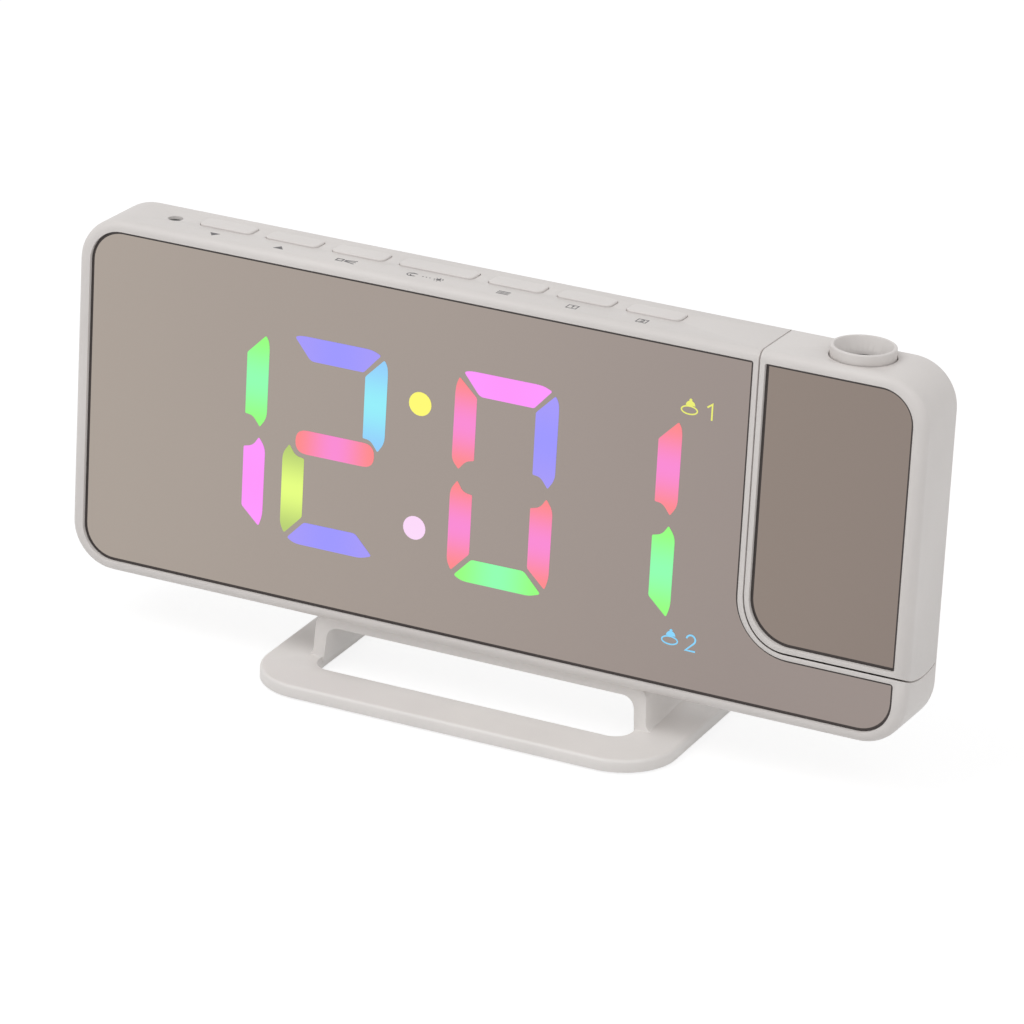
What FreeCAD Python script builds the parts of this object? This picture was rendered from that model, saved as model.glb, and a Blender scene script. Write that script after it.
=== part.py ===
import FreeCAD, Part
import math
import os
import re

import Sketcher

# A mirror-faced alarm clock with a swivelling time projector, on an arched stand.
# The head is drawn face on: X to the right, Y up, Z towards the viewer, the mirror's
# face at Z = 0 and its centre at the origin. The head is then stood up and leans back
# on the stand, which is drawn on the ground plane, Z up, the front towards -Y.

SIZES = {
    # Head: the casing around the mirror
    "case_width": 212.6,
    "case_height": 86.6,
    "module_width": 40.63,
    "case_corner": 11.0,
    "rim_proud": 0.9,
    "case_back": 19.6,
    "rim_round": 2.2,
    "back_round": 3.5,
    "wall": 2.0,
    "cover_thick": 2.0,
    "lean": 2.4,
    "head_lift": 14.15,
    "toe_to_face": 18.0,
    # Mirrors
    "rim_wide": 3.3,
    "rim_high": 2.7,
    "mirror_thick": 1.5,
    "mirror_corner": 8.0,
    "mirror_gap": 0.12,
    "ledge_thick": 1.6,
    "strip": 1.29,
    # Projector bay: the parting between the head and the module that turns in it
    "bay_gap": 0.4,
    "bay_radius": 26.0,
    "bay_corner": 11.0,
    "pivot_up": -2.5,
    "pivot_deep": 9.35,
    # Pivot
    "tube_radius": 4.9,
    "tube_bore": 3.2,
    "run_gap": 0.06,
    "bush_thick": 1.4,
    "bush_flange": 1.2,
    "flange_radius": 6.1,
    "boss_radius": 7.6,
    "clip_thick": 0.8,
    "washer_thick": 0.9,
    # Shares of the head's span, from the casing's left end to the projector's bay
    "key_start": 0.157,
    "key_share": 0.07792,
    "snooze_share": 0.10932,
    "space_share": 0.0221,
    "sensor_start": 0.11804,
    "panel_start": 0.11804,
    "colon_start": 0.51986,
    "digit_share": 0.15351,
    "pitch_share": 0.17678,
    "icon_start": 0.90772,
    "speaker_start": 0.21108,
    "inlet_start": 0.19364,
    "usb_start": 0.29249,
    "cell_start": 0.69954,
    # Keys along the top
    "key_deep": 5.4,
    "key_front": 7.2,
    "key_proud": 0.45,
    "key_gap": 0.2,
    "key_lip": 0.7,
    "key_travel": 0.8,
    "key_corner": 1.6,
    "stem_radius": 1.6,
    "stem_long": 1.3,
    # Boards and switches
    "board_thick": 1.2,
    "switch_side": 6.0,
    "switch_high": 3.4,
    "plunger_high": 0.7,
    "press_gap": 0.1,
    # Display
    "panel_high": 30.6,
    "panel_rim": 3.0,
    "digit_height": 51.2,
    "segment_wide": 6.2,
    "segment_gap": 1.1,
    "colon_room": 6.4,
    "colon_rise": 15.0,
    "dot_radius": 2.8,
    "icon_side": 4.6,
    "icon_rise": 27.4,
    "reflector_deep": 6.0,
    "diffuser_thick": 1.0,
    "led_side": 2.8,
    "led_high": 1.0,
    # Sensor, speaker, sockets
    "sensor_deep": 8.5,
    "sensor_radius": 1.7,
    "sensor_sunk": 0.75,
    "speaker_up": 4.0,
    "speaker_radius": 14.0,
    "speaker_deep": 4.8,
    "grille_hole": 1.2,
    "grille_step": 4.0,
    "usb_wide": 13.1,
    "usb_high": 5.7,
    "usb_deep": 13.8,
    "inlet_radius": 3.0,
    "inlet_bore": 1.9,
    "inlet_pin": 0.65,
    "inlet_deep": 11.5,
    "socket_gap": 0.3,
    "socket_set": 0.5,
    # Coin cell and its twist-lock cap
    "cell_up": 4.0,
    "cell_radius": 10.0,
    "cell_thick": 3.2,
    "cap_radius": 13.0,
    "cap_thick": 1.3,
    # Focus ring and optics
    "lens_in": 20.1,
    "ring_radius": 7.45,
    "ring_proud": 2.5,
    "ring_gap": 0.3,
    "ring_mouth": 6.7,
    "ring_bore": 4.95,
    "funnel_deep": 3.4,
    "ring_sunk": 1.1,
    "ring_neck": 6.0,
    "ring_flange": 1.1,
    "ring_lip": 0.9,
    "cell_wall": 0.6,
    "optics_wide": 16.0,
    "optics_deep": 11.9,
    "optics_wall": 1.2,
    "focus_travel": 2.0,
    # Flip button on the projector's back
    "flip_up": -6.0,
    "flip_radius": 3.6,
    # Fasteners
    "screw_radius": 1.3,
    "screw_head": 2.6,
    "screw_head_high": 1.2,
    "screw_long": 8.0,
    "post_radius": 3.2,
    "boss_high": 6.0,
    "rib_deep": 12.6,
    # Stand
    "plate_width": 105.0,
    "plate_deep": 59.6,
    "plate_thick": 3.0,
    "plate_corner": 14.0,
    "window_width": 80.4,
    "toe_width": 12.1,
    "window_corner": 4.5,
    "arch_inside": 78.6,
    "arch_wall": 2.9,
    "arch_splay": 0.6,
    "arch_front": 2.7,
    "arch_deep": 26.0,
    "bar_deep": 15.0,
    "arch_round": 3.0,
    "arch_foot_round": 2.0,
    "foot_radius": 4.5,
    "foot_proud": 0.5,
    "foot_sunk": 0.7,
    "stand_screw_at": 28.0,
}

document = FreeCAD.newDocument("ProjectionClock")
sheet = document.addObject("Spreadsheet::Sheet", "Sizes")
for row, (alias, amount) in enumerate(SIZES.items(), 1):
    sheet.set(f"A{row}", alias)
    sheet.set(f"B{row}", str(amount))
    sheet.setAlias(f"B{row}", alias)
document.recompute()

# Words for places that are worked out from the sizes
PLACES = {
    "span": "(case_width - module_width)",
    "left_end": "(-case_width / 2)",
    "bay_left": "(left_end + span)",
    "lens_at": "(case_width / 2 - lens_in)",
    "mirror_width": "(case_width - 2 * rim_wide)",
    "mirror_height": "(case_height - 2 * rim_high)",
    "key_first": "(left_end + key_start * span)",
    "key_width": "(key_share * span)",
    "snooze_width": "(snooze_share * span)",
    "key_space": "(space_share * span)",
    "sensor_at": "(left_end + sensor_start * span)",
    "panel_left": "(left_end + panel_start * span)",
    "panel_right": "(bay_left - wall - panel_rim)",
    "digit_width": "(digit_share * span)",
    "digit_pitch": "(pitch_share * span)",
    "colon_at": "(left_end + colon_start * span)",
    "icon_at": "(left_end + icon_start * span)",
    "speaker_at": "(left_end + speaker_start * span)",
    "inlet_at": "(left_end + inlet_start * span)",
    "usb_at": "(left_end + usb_start * span)",
    "cell_at": "(left_end + cell_start * span)",
}

# Longer places, as expressions of the sheet
HALF_WIDE = "(case_width / 2)"
HALF_HIGH = "(case_height / 2)"
HEAD_BACK = "(toe_to_face - plate_deep / 2)"
HEAD_HIGH = "(head_lift + case_height / 2 * cos(lean))"
PART_LINE = "(-case_back + cover_thick)"
LEDGE_FRONT = "(-mirror_thick)"
LEDGE_BACK = "(-mirror_thick - ledge_thick)"
BAY_FLOOR = "(pivot_up - bay_radius)"
MODULE_LEFT = "(bay_left + bay_gap)"
MODULE_RADIUS = "(bay_radius - bay_gap)"
MODULE_CORNER = "(bay_corner - bay_gap)"
FACE_REACH = "(rim_proud + pivot_deep)"
BAY_LINE = f"(pivot_up - sqrt(bay_radius ^ 2 - {FACE_REACH} ^ 2))"
MODULE_LINE = f"(pivot_up - sqrt({MODULE_RADIUS} ^ 2 - {FACE_REACH} ^ 2))"
KEY_MIDDLE = "(-key_front - key_deep / 2)"
PILOT = "(screw_radius + 0.02)"
BOSS_DEPTH = "(-arch_front - bar_deep / 2)"
SENSOR_MIDDLE = "-sensor_deep"
UNDER_TOP = f"({HALF_HIGH} - wall)"
STEM_END = f"({UNDER_TOP} - press_gap - key_lip - 0.2 - stem_long)"
SWITCH_TOP = f"({STEM_END} - key_travel - press_gap)"
KEY_BOARD = f"({SWITCH_TOP} - plunger_high - switch_high)"
REFLECTOR_BACK = f"({LEDGE_FRONT} - 0.1 - reflector_deep)"
BOARD_BACK = f"({REFLECTOR_BACK} - board_thick)"
RING_TOP = f"({HALF_HIGH} + ring_proud)"
OPTICS_TOP = f"({UNDER_TOP} - press_gap - ring_flange - press_gap)"
OPTICS_FOOT = "8"
FLIP_BOARD = f"({PART_LINE} + 7.6)"
IO_BOARD = f"(-{HALF_HIGH} + wall + 0.9)"
ARCH_TOP = f"(-{HALF_HIGH})"
CELL_BACK = f"({PART_LINE} + 1.5)"
CELL_SEAT = "(1.5 + cell_thick + 1.6)"
USB_MIDDLE = f"({IO_BOARD} + board_thick + usb_high / 2)"
INLET_MIDDLE = f"({IO_BOARD} + board_thick + 3.2)"
BEHIND_FACE = f"({HALF_HIGH} * sin(lean))"

DIGIT_PLACES = [f"colon_at {side} (colon_room + digit_pitch * {steps})"
                for side, steps in (("-", 1.5), ("-", 0.5), ("+", 0.5), ("+", 1.5))]
REAR_POSTS = [("(left_end + 8.7)", f"({HALF_HIGH} - 8.5)"), ("(left_end + 8.7)", f"(8.5 - {HALF_HIGH})"),
              ("(cell_at - 2)", f"(6.7 - {HALF_HIGH})"), ("(bay_left - 7.27)", f"({HALF_HIGH} - 7.1)"),
              (f"({HALF_WIDE} - 8.7)", f"(8.1 - {HALF_HIGH})")]
MODULE_POSTS = [("(bay_left + 7.13)", f"({HALF_HIGH} - 7.3)"), (f"({HALF_WIDE} - 6.9)", f"({HALF_HIGH} - 10.3)"),
                (f"({HALF_WIDE} - 7.8)", "(pivot_up - 16)")]
STAKES = [("(lens_at - 10.2)", "(flip_up + 9.4)"), ("(lens_at - 10.2)", "(flip_up - 6)"), ("(lens_at + 10.2)", "flip_up")]
KEYS = ["key_down", "key_up", "key_project", "key_snooze", "key_mode", "key_alarm_1", "key_alarm_2"]

X_AXIS = FreeCAD.Vector(1, 0, 0)
Y_AXIS = FreeCAD.Vector(0, 1, 0)
Z_AXIS = FreeCAD.Vector(0, 0, 1)

nodes = []


def spelled(text):
    """The expression with each word of PLACES written out."""
    while True:
        longer = re.sub(r"[a-z][a-z_0-9]*", lambda found: PLACES.get(found.group(), found.group()), text)
        if longer == text:
            return text
        text = longer


def sized(text):
    """The expression with the sheet's name before each size."""
    return re.sub(r"[a-z][a-z_0-9]*", lambda found: named(found.group()), spelled(str(text)))


def named(word):
    return "Sizes." + word if word in SIZES else word


def number(text):
    """The value of an expression now, in millimetres or degrees."""
    return float(sheet.evalExpression(spelled(str(text))))


def bind(item, place, text):
    item.setExpression(place, sized(text))


def finish(item, label, in_head=True):
    """Names a finished sub-part, and stands it up with the head where it belongs to it."""
    if item.TypeId in ("Part::Box", "Part::Cylinder"):
        # A primitive's own placement is its place, so the sub-part is a holder around it
        item.Label = label + "_blank"
        item = group(label + "_held", [item])
    item.Label = label
    if in_head:
        item.Placement = FreeCAD.Placement(FreeCAD.Vector(), FreeCAD.Rotation(X_AXIS, 90))
        bind(item, "Placement.Base.y", HEAD_BACK)
        bind(item, "Placement.Base.z", HEAD_HIGH)
        bind(item, "Placement.Rotation.Angle", "90 - lean")
    nodes.append(item)
    return item


class Moulding:
    """A PartDesign body, built up feature by feature from sketches on its own planes."""

    def __init__(self, label, in_head=True):
        self.label = label
        self.body = document.addObject("PartDesign::Body", label)
        self.in_head = in_head
        self.count = 0

    def name(self, word):
        self.count += 1
        return f"{self.label}_{word}_{self.count}"

    def plane(self, role):
        for item in self.body.Origin.OriginFeatures:
            if item.Role == role:
                return item

    def sketch(self, outlines=(), circles=(), lift="0", role="XY_Plane", shift=("0", "0"), turn=None):
        """A sketch of outlines and circles on one of the body's planes, moved along its normal.

        An outline is a list of corners (across, up, radius), anticlockwise, and a circle is
        (across, up, radius). turn is an expression for a turn about the sketch's own X axis.
        """
        sketch = self.body.newObject("Sketcher::SketchObject", self.name("sketch"))
        sketch.AttachmentSupport = [(self.plane(role), "")]
        sketch.MapMode = "FlatFace"
        if turn is not None:
            sketch.AttachmentOffset = FreeCAD.Placement(FreeCAD.Vector(), FreeCAD.Rotation(X_AXIS, 1))
            bind(sketch, "AttachmentOffset.Rotation.Angle", turn)
        bind(sketch, "AttachmentOffset.Base.x", shift[0])
        bind(sketch, "AttachmentOffset.Base.y", shift[1])
        bind(sketch, "AttachmentOffset.Base.z", lift)
        for corners in outlines:
            draw_outline(sketch, corners)
        for across, up, radius in circles:
            place = FreeCAD.Vector(number(across), number(up), 0)
            circle = sketch.addGeometry(Part.Circle(place, Z_AXIS, number(radius)), False)
            hold_point(sketch, circle, 3, across, up)
            hold(sketch, ("Radius", circle, number(radius)), radius)
        return sketch

    def feature(self, kind, sketch, **settings):
        feature = self.body.newObject("PartDesign::" + kind, self.name(kind.lower()))
        feature.Profile = sketch
        for place, setting in settings.items():
            setattr(feature, place, setting)
        return feature

    def pad(self, sketch, length, back=False):
        feature = self.feature("Pad", sketch, Reversed=back)
        bind(feature, "Length", length)
        return feature

    def pocket(self, sketch, depth=None, ahead=False):
        """Cuts against the sketch's normal, or along it where ahead is set."""
        feature = self.feature("Pocket", sketch, Reversed=ahead)
        if depth is None:
            feature.Type = "ThroughAll"
        else:
            bind(feature, "Length", depth)
        return feature

    def turned(self, kind, sketch, angle=360, axis="H_Axis"):
        feature = self.feature(kind, sketch, ReferenceAxis=(sketch, [axis]), Angle=angle)
        feature.Midplane = angle < 360
        return feature

    def rounded(self, radius, wanted, kind="Fillet"):
        """Rounds the edges of the solid so far for which wanted(edge, middle) holds."""
        document.recompute()
        base = self.body.Tip
        chosen = [f"Edge{place}" for place, edge in enumerate(base.Shape.Edges, 1)
                  if wanted(edge, edge.CenterOfMass)]
        feature = self.body.newObject("PartDesign::" + kind, self.name(kind.lower()))
        feature.Base = (base, chosen)
        bind(feature, "Radius" if kind == "Fillet" else "Size", radius)
        return feature

    def ring_of(self, feature, sketch, copies):
        """Repeats a feature around the sketch's normal."""
        document.recompute()
        pattern = self.body.newObject("PartDesign::PolarPattern", self.name("ring"))
        pattern.Originals = [feature]
        pattern.Axis = (sketch, ["N_Axis"])
        pattern.Angle = 360
        pattern.Occurrences = copies
        self.body.Tip = pattern
        return pattern

    def done(self):
        return finish(self.body, self.label, self.in_head)


def hold(sketch, constraint, text):
    """Adds a constraint whose value is an expression of the sheet."""
    place = sketch.addConstraint(Sketcher.Constraint(*constraint))
    sketch.setExpression(f"Constraints[{place}]", sized(text))


def hold_point(sketch, element, end, across, up):
    hold(sketch, ("DistanceX", -1, 1, element, end, number(across)), across)
    hold(sketch, ("DistanceY", -1, 1, element, end, number(up)), up)


def draw_outline(sketch, corners):
    """A closed outline of straight edges; a corner with a radius is a tangent arc.

    Each edge runs through the sharp corners at its ends, which are construction points.
    """
    points = [FreeCAD.Vector(number(across), number(up), 0) for across, up, radius in corners]
    total = len(points)
    ends = []
    for place, (across, up, radius) in enumerate(corners):
        here = points[place]
        back = (points[place - 1] - here).normalize()
        ahead = (points[(place + 1) % total] - here).normalize()
        if radius == "0":
            ends.append((here, here, None, None))
            continue
        half = back.getAngle(ahead) / 2
        reach = number(radius) / math.tan(half)
        centre = here + (back + ahead).normalize() * (number(radius) / math.sin(half))
        left_turn = back.cross(ahead).z < 0
        ends.append((here + back * reach, here + ahead * reach, centre, left_turn))
    lines = []
    for place in range(total):
        start = ends[place][1]
        stop = ends[(place + 1) % total][0]
        lines.append(sketch.addGeometry(Part.LineSegment(start, stop), False))
    for place, (across, up, radius) in enumerate(corners):
        before = lines[place - 1]
        after = lines[place]
        start, stop, centre, left_turn = ends[place]
        if centre is None:
            sketch.addConstraint(Sketcher.Constraint("Coincident", before, 2, after, 1))
            hold_point(sketch, after, 1, across, up)
            continue
        first, last = (start, stop) if left_turn else (stop, start)
        angles = [math.atan2(point.y - centre.y, point.x - centre.x) for point in (first, last)]
        circle = Part.Circle(centre, Z_AXIS, number(radius))
        arc = sketch.addGeometry(Part.ArcOfCircle(circle, angles[0], angles[1]), False)
        arc_start, arc_stop = (1, 2) if left_turn else (2, 1)
        sketch.addConstraint(Sketcher.Constraint("Tangent", before, 2, arc, arc_start))
        sketch.addConstraint(Sketcher.Constraint("Tangent", arc, arc_stop, after, 1))
        hold(sketch, ("Radius", arc, number(radius)), radius)
        corner = sketch.addGeometry(Part.Point(points[place]), True)
        sketch.addConstraint(Sketcher.Constraint("PointOnObject", corner, 1, before))
        sketch.addConstraint(Sketcher.Constraint("PointOnObject", corner, 1, after))
        hold_point(sketch, corner, 1, across, up)


def rectangle(left, low, right, high, radius="0"):
    return [(left, low, radius), (right, low, radius), (right, high, radius), (left, high, radius)]


def centred(across, up, wide, high, radius="0"):
    return rectangle(f"{across} - {wide} / 2", f"{up} - {high} / 2",
                     f"{across} + {wide} / 2", f"{up} + {high} / 2", radius)


def around_bay(inset):
    """The casing's outline, drawn in by inset, with the projector's bay left out of it."""
    left = f"-{HALF_WIDE} + {inset}"
    low = f"-{HALF_HIGH} + {inset}"
    corner = f"case_corner - ({inset})"
    bay_side = f"bay_left - ({inset})"
    bay_low = f"{BAY_FLOOR} - ({inset})"
    return [(left, low, corner), (f"-({left})", low, corner), (f"-({left})", bay_low, "0.3"),
            (bay_side, bay_low, f"bay_corner + {inset}"), (bay_side, f"-({low})", "1"),
            (left, f"-({low})", corner)]


def mirror_outline(grow):
    """The main mirror's outline: a rounded rectangle less the projector's corner."""
    left = f"-mirror_width / 2 - {grow}"
    low = f"-mirror_height / 2 - {grow}"
    bay_side = f"bay_left - strip + {grow}"
    bay_low = f"{BAY_LINE} - strip + {grow}"
    corner = f"mirror_corner + {grow}"
    return [(left, low, corner), (f"-({left})", low, corner), (f"-({left})", bay_low, "0.8"),
            (bay_side, bay_low, f"bay_corner + strip + 0.8 - {grow}"), (bay_side, f"-({low})", "0.6"),
            (left, f"-({low})", corner)]


def module_mirror_outline(grow):
    """The projector's mirror: square at two corners, round at the other two."""
    left = f"{MODULE_LEFT} + strip - {grow}"
    low = f"{MODULE_LINE} + strip - {grow}"
    right = f"mirror_width / 2 + {grow}"
    high = f"mirror_height / 2 + {grow}"
    return [(left, low, f"bay_corner - 0.6 + {grow}"), (right, low, "0.8"),
            (right, high, f"mirror_corner + {grow}"), (left, high, "0.6")]


def at_face(edge, middle):
    """True for the casing's outer edges at the front of the rim."""
    return abs(middle.z - number("rim_proud")) < 0.01


def at_back(edge, middle):
    return abs(middle.z + number("case_back")) < 0.01


# Primitives for the plain pieces inside

def block(label, low, high):
    box = document.addObject("Part::Box", label)
    for side, axis, start, stop in zip(("Length", "Width", "Height"), "xyz", low, high):
        bind(box, side, f"{stop} - ({start})")
        bind(box, f"Placement.Base.{axis}", start)
    return box


def rod(label, radius, start, length, axis):
    """A cylinder from start, an (x, y, z) of expressions, along +X, +Y or +Z."""
    turns = {"x": FreeCAD.Rotation(Y_AXIS, 90), "y": FreeCAD.Rotation(X_AXIS, -90), "z": FreeCAD.Rotation()}
    cylinder = document.addObject("Part::Cylinder", label)
    cylinder.Placement = FreeCAD.Placement(FreeCAD.Vector(), turns[axis])
    bind(cylinder, "Radius", radius)
    bind(cylinder, "Height", length)
    for side, place in zip("xyz", start):
        bind(cylinder, f"Placement.Base.{side}", place)
    return cylinder


def joined(label, items):
    union = document.addObject("Part::MultiFuse", label)
    union.Shapes = items
    return union


def group(label, items):
    compound = document.addObject("Part::Compound", label)
    compound.Links = items
    return compound


def less(label, base, tools):
    cut = document.addObject("Part::Cut", label)
    cut.Base = base
    cut.Tool = tools[0] if len(tools) == 1 else joined(label + "_tools", tools)
    return cut


def turned_piece(label, profile, role="XY_Plane", shift=("0", "0"), lift="0", axis="V_Axis"):
    """A body of revolution in the head: profile is turned about its sketch's axis."""
    piece = Moulding(label)
    piece.turned("Revolution", piece.sketch([profile], role=role, shift=shift, lift=lift), axis=axis)
    return piece


# Casing

def bay_profile(radius, corner, left):
    """What the bay's floor sweeps as it is turned about the pivot, drawn below its axis."""
    far = f"{HALF_WIDE} + 20"
    return [(left, f"-({radius})", corner), (far, f"-({radius})", "0"), (far, "0", "0"), (left, "0", "0")]


def casing(piece):
    """The casing's rounded block with the projector's bay cut out of it."""
    outline = centred("0", "0", "case_width", "case_height", "case_corner")
    piece.pad(piece.sketch([outline], lift="-case_back"), "case_back + rim_proud")
    piece.rounded("rim_round", at_face)
    piece.rounded("back_round", at_back)
    profile = bay_profile("bay_radius", "bay_corner", "bay_left")
    piece.turned("Groove", piece.sketch([profile], lift="-pivot_deep", shift=("0", "pivot_up")))
    opening = rectangle("bay_left", "pivot_up", f"{HALF_WIDE} + 20", f"{HALF_HIGH} + 20")
    piece.pocket(piece.sketch([opening], lift="rim_proud + 1"))


def front_frame():
    piece = Moulding("front_frame")
    casing(piece)
    piece.pocket(piece.sketch([mirror_outline("mirror_gap")], lift="rim_proud + 1"),
                 "rim_proud + 1 + mirror_thick")
    window = rectangle(f"panel_left - 0.3", f"-panel_high - 0.3", f"panel_right + 0.3",
                       f"panel_high + 0.3", "1")
    piece.pocket(piece.sketch([window], lift="1"), "mirror_thick + ledge_thick + 2")
    piece.pocket(piece.sketch([around_bay("wall")], lift=LEDGE_BACK), f"case_back - 0.5 + {LEDGE_BACK} + 2")
    piece.pocket(piece.sketch([centred("0", "0", "case_width + 4", "case_height + 4")], lift=PART_LINE),
                 "cover_thick + 2")
    # Holes for the stand's screws through the floor
    piece.pocket(boss_sketch(piece, f"-{HALF_HIGH} - 1"), "wall + 2")
    # Pivot boss in the end wall, its bore, the key openings and the sensor's hole
    piece.pad(pivot_sketch(piece, "boss_radius", "bay_left - wall / 2"), "bush_flange + wall / 2", back=True)
    piece.pocket(pivot_sketch(piece, "tube_radius + run_gap + bush_thick", "bay_left + 1"),
                 "wall + bush_flange + 3")
    openings = [centred(middle, KEY_MIDDLE, f"({wide} + 2 * key_gap)", "(key_deep + 2 * key_gap)", "key_corner")
                for middle, wide in key_places()]
    sensor = [("sensor_at", SENSOR_MIDDLE, "sensor_radius + 0.1")]
    piece.pocket(top_sketch(piece, openings, sensor, f"{HALF_HIGH} + 1"), "wall + 1.5", ahead=True)
    return piece.done()


def frame_posts():
    """What stands on the inside of the frame: screw posts, ribs, snap hooks and screw bosses."""
    parts = []
    for place, (across, up) in enumerate(REAR_POSTS):
        post = rod(f"post_{place}", "post_radius", (across, up, PART_LINE), f"{LEDGE_BACK} - {PART_LINE}", "z")
        pilot = rod(f"pilot_{place}", PILOT, (across, up, f"{PART_LINE} - 1"), "screw_long + 1", "z")
        parts.append(less(f"drilled_post_{place}", post, [pilot]))
    # Ribs that carry the key board, and the two that carry the socket board
    deep = f"{LEDGE_BACK} - rib_deep"
    low = f"{KEY_BOARD} - board_thick - 1"
    for place, left in enumerate(("(sensor_at - 2)", "(speaker_at + 24)", "(colon_at + 17)", "(icon_at - 10)")):
        parts.append(block(f"key_rib_{place}", (left, low, deep), (f"{left} + 3", f"{low} + 1", LEDGE_BACK)))
    for place, left in enumerate(("(inlet_at - 2)", "(usb_at - 1)")):
        parts.append(block(f"socket_rib_{place}", (left, f"-{HALF_HIGH} + wall", deep), (f"{left} + 2", IO_BOARD, LEDGE_BACK)))
    # Snap hooks above and below the display board
    tip = f"{BOARD_BACK} - 1.2"
    edge = "(panel_high + 1.1)"
    for place, left in enumerate(("(speaker_at - 2)", "(colon_at - 7.1)", "(cell_at + 14)")):
        for side, near, far, lip in (("top", edge, f"{edge} + 1", f"{edge} - 0.7"),
                                     ("low", f"-{edge}", f"-{edge} - 1", f"-{edge} + 0.7")):
            name = f"{side}_{place}"
            ends = (near, far) if side == "top" else (far, near)
            lips = (lip, far) if side == "top" else (far, lip)
            arm = block(f"hook_{name}", (left, ends[0], tip), (f"{left} + 5", ends[1], LEDGE_BACK))
            nose = block(f"nose_{name}", (left, lips[0], tip), (f"{left} + 5", lips[1], f"{BOARD_BACK} - 0.05"))
            parts.append(joined(f"snap_{name}", [arm, nose]))
    # Bosses for the stand's screws, on the floor of the casing
    for place, across in enumerate(("-stand_screw_at", "stand_screw_at")):
        boss = rod(f"boss_{place}", "post_radius", (across, f"-{HALF_HIGH} + wall", BOSS_DEPTH), "boss_high", "y")
        pilot = rod(f"boss_pilot_{place}", PILOT, (across, f"-{HALF_HIGH}", BOSS_DEPTH), "wall + boss_high + 1", "y")
        parts.append(less(f"drilled_boss_{place}", boss, [pilot]))
    finish(group("frame_posts", parts), "frame_posts")


def top_sketch(piece, outlines, circles, height):
    """A sketch on a level plane of the head: across is X and up is Z, and it faces down."""
    return piece.sketch(outlines, circles, lift=f"-({height})", role="XZ_Plane")


def boss_sketch(piece, height):
    """The pilot holes of the stand's two screws, on a level plane of the head."""
    circles = [(place, BOSS_DEPTH, PILOT) for place in ("-stand_screw_at", "stand_screw_at")]
    return top_sketch(piece, [], circles, height)


def pivot_sketch(piece, radius, across):
    """A circle about the pivot, on a plane across the pivot's axis."""
    return piece.sketch(circles=[("pivot_up", "-pivot_deep", radius)], lift=across, role="YZ_Plane")


def key_places():
    """The middle and the width of each key, from left to right."""
    left = "key_first"
    places = []
    for label in KEYS:
        wide = "snooze_width" if label == "key_snooze" else "key_width"
        places.append((f"({left} + {wide} / 2)", wide))
        left = f"{left} + {wide} + key_space"
    return places


def rear_cover():
    piece = Moulding("rear_cover")
    casing(piece)
    piece.pocket(piece.sketch([centred("0", "0", "case_width + 4", "case_height + 4")], lift="rim_proud + 1"),
                 f"rim_proud + 1 - {PART_LINE}")
    # A lip that locates the cover inside the frame's walls
    lip = piece.sketch([around_bay("wall + 0.15"), around_bay("wall + 1.35")], lift=PART_LINE)
    piece.pad(lip, "1.5")
    # The lip stops short of the pivot's boss
    gap = rectangle("bay_left - wall - 2", "pivot_up - boss_radius - 0.5", "bay_left - wall + 1",
                    "pivot_up + boss_radius + 0.5")
    piece.pocket(piece.sketch([gap], lift=PART_LINE), "3", ahead=True)
    # Speaker seat and battery well stand on the inside
    seat = [("speaker_at", "speaker_up", "speaker_radius + 0.15"), ("speaker_at", "speaker_up", "speaker_radius + 1.5")]
    piece.pad(piece.sketch(circles=seat, lift=PART_LINE), "3")
    piece.pad(piece.sketch(circles=[("cell_at", "cell_up", "cap_radius + 0.7")], lift=PART_LINE), CELL_SEAT)
    # The well, from behind: the cap's recess, the lugs' groove and the cell's seat
    back = "-case_back - 1"
    recess = [("cell_at", "cell_up", "cap_radius + run_gap")]
    piece.pocket(piece.sketch(circles=recess, lift=back), "cap_thick + 1 + run_gap", ahead=True)
    throat = [("cell_at", "cell_up", "cell_radius + 0.6")]
    piece.pocket(piece.sketch(circles=throat, lift=back), "cover_thick + 2", ahead=True)
    groove = [("cell_at", "cell_up", "cap_radius - 0.6")]
    piece.pocket(piece.sketch(circles=groove, lift=f"{PART_LINE} + 0.1"), "1.3", ahead=True)
    cell = [("cell_at", "cell_up", "cell_radius + 0.15")]
    piece.pocket(piece.sketch(circles=cell, lift=PART_LINE), f"{CELL_SEAT} - 1.2", ahead=True)
    # Two notches let the cap's lugs in, at the turned position
    notch = centred("cell_at", "cell_up", "(2 * cap_radius - 1.2)", "5.4")
    piece.pocket(piece.sketch([notch], lift=back), "cover_thick + 1.8", ahead=True)
    # Sockets, screw holes with a seat for each head, and the speaker's grille
    usb = centred("usb_at", USB_MIDDLE, "(usb_wide + 2 * socket_gap)", "(usb_high + 2 * socket_gap)", "0.6")
    inlet = [("inlet_at", INLET_MIDDLE, "inlet_radius + socket_gap")]
    piece.pocket(piece.sketch([usb], inlet, lift=back), "cover_thick + 3", ahead=True)
    holes = [(across, up, "screw_radius + 0.3") for across, up in REAR_POSTS]
    piece.pocket(piece.sketch(circles=holes, lift=back), "cover_thick + 3", ahead=True)
    heads = [(across, up, "screw_head + 0.3") for across, up in REAR_POSTS]
    piece.pocket(piece.sketch(circles=heads, lift=back), "screw_head_high + 1.05", ahead=True)
    centre = piece.sketch(circles=[("speaker_at", "speaker_up", "grille_hole")], lift=back)
    piece.pocket(centre, "cover_thick + 3", ahead=True)
    for ring in (1, 2):
        for half in range(ring):
            spin = 60.0 * half / ring
            across = f"grille_step * {ring} * cos({spin})"
            up = f"grille_step * {ring} * sin({spin})"
            sketch = piece.sketch(circles=[(across, up, "grille_hole")], lift=back, shift=("speaker_at", "speaker_up"))
            hole = piece.pocket(sketch, "cover_thick + 3", ahead=True)
            piece.ring_of(hole, sketch, 6)
    return piece.done()


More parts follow.
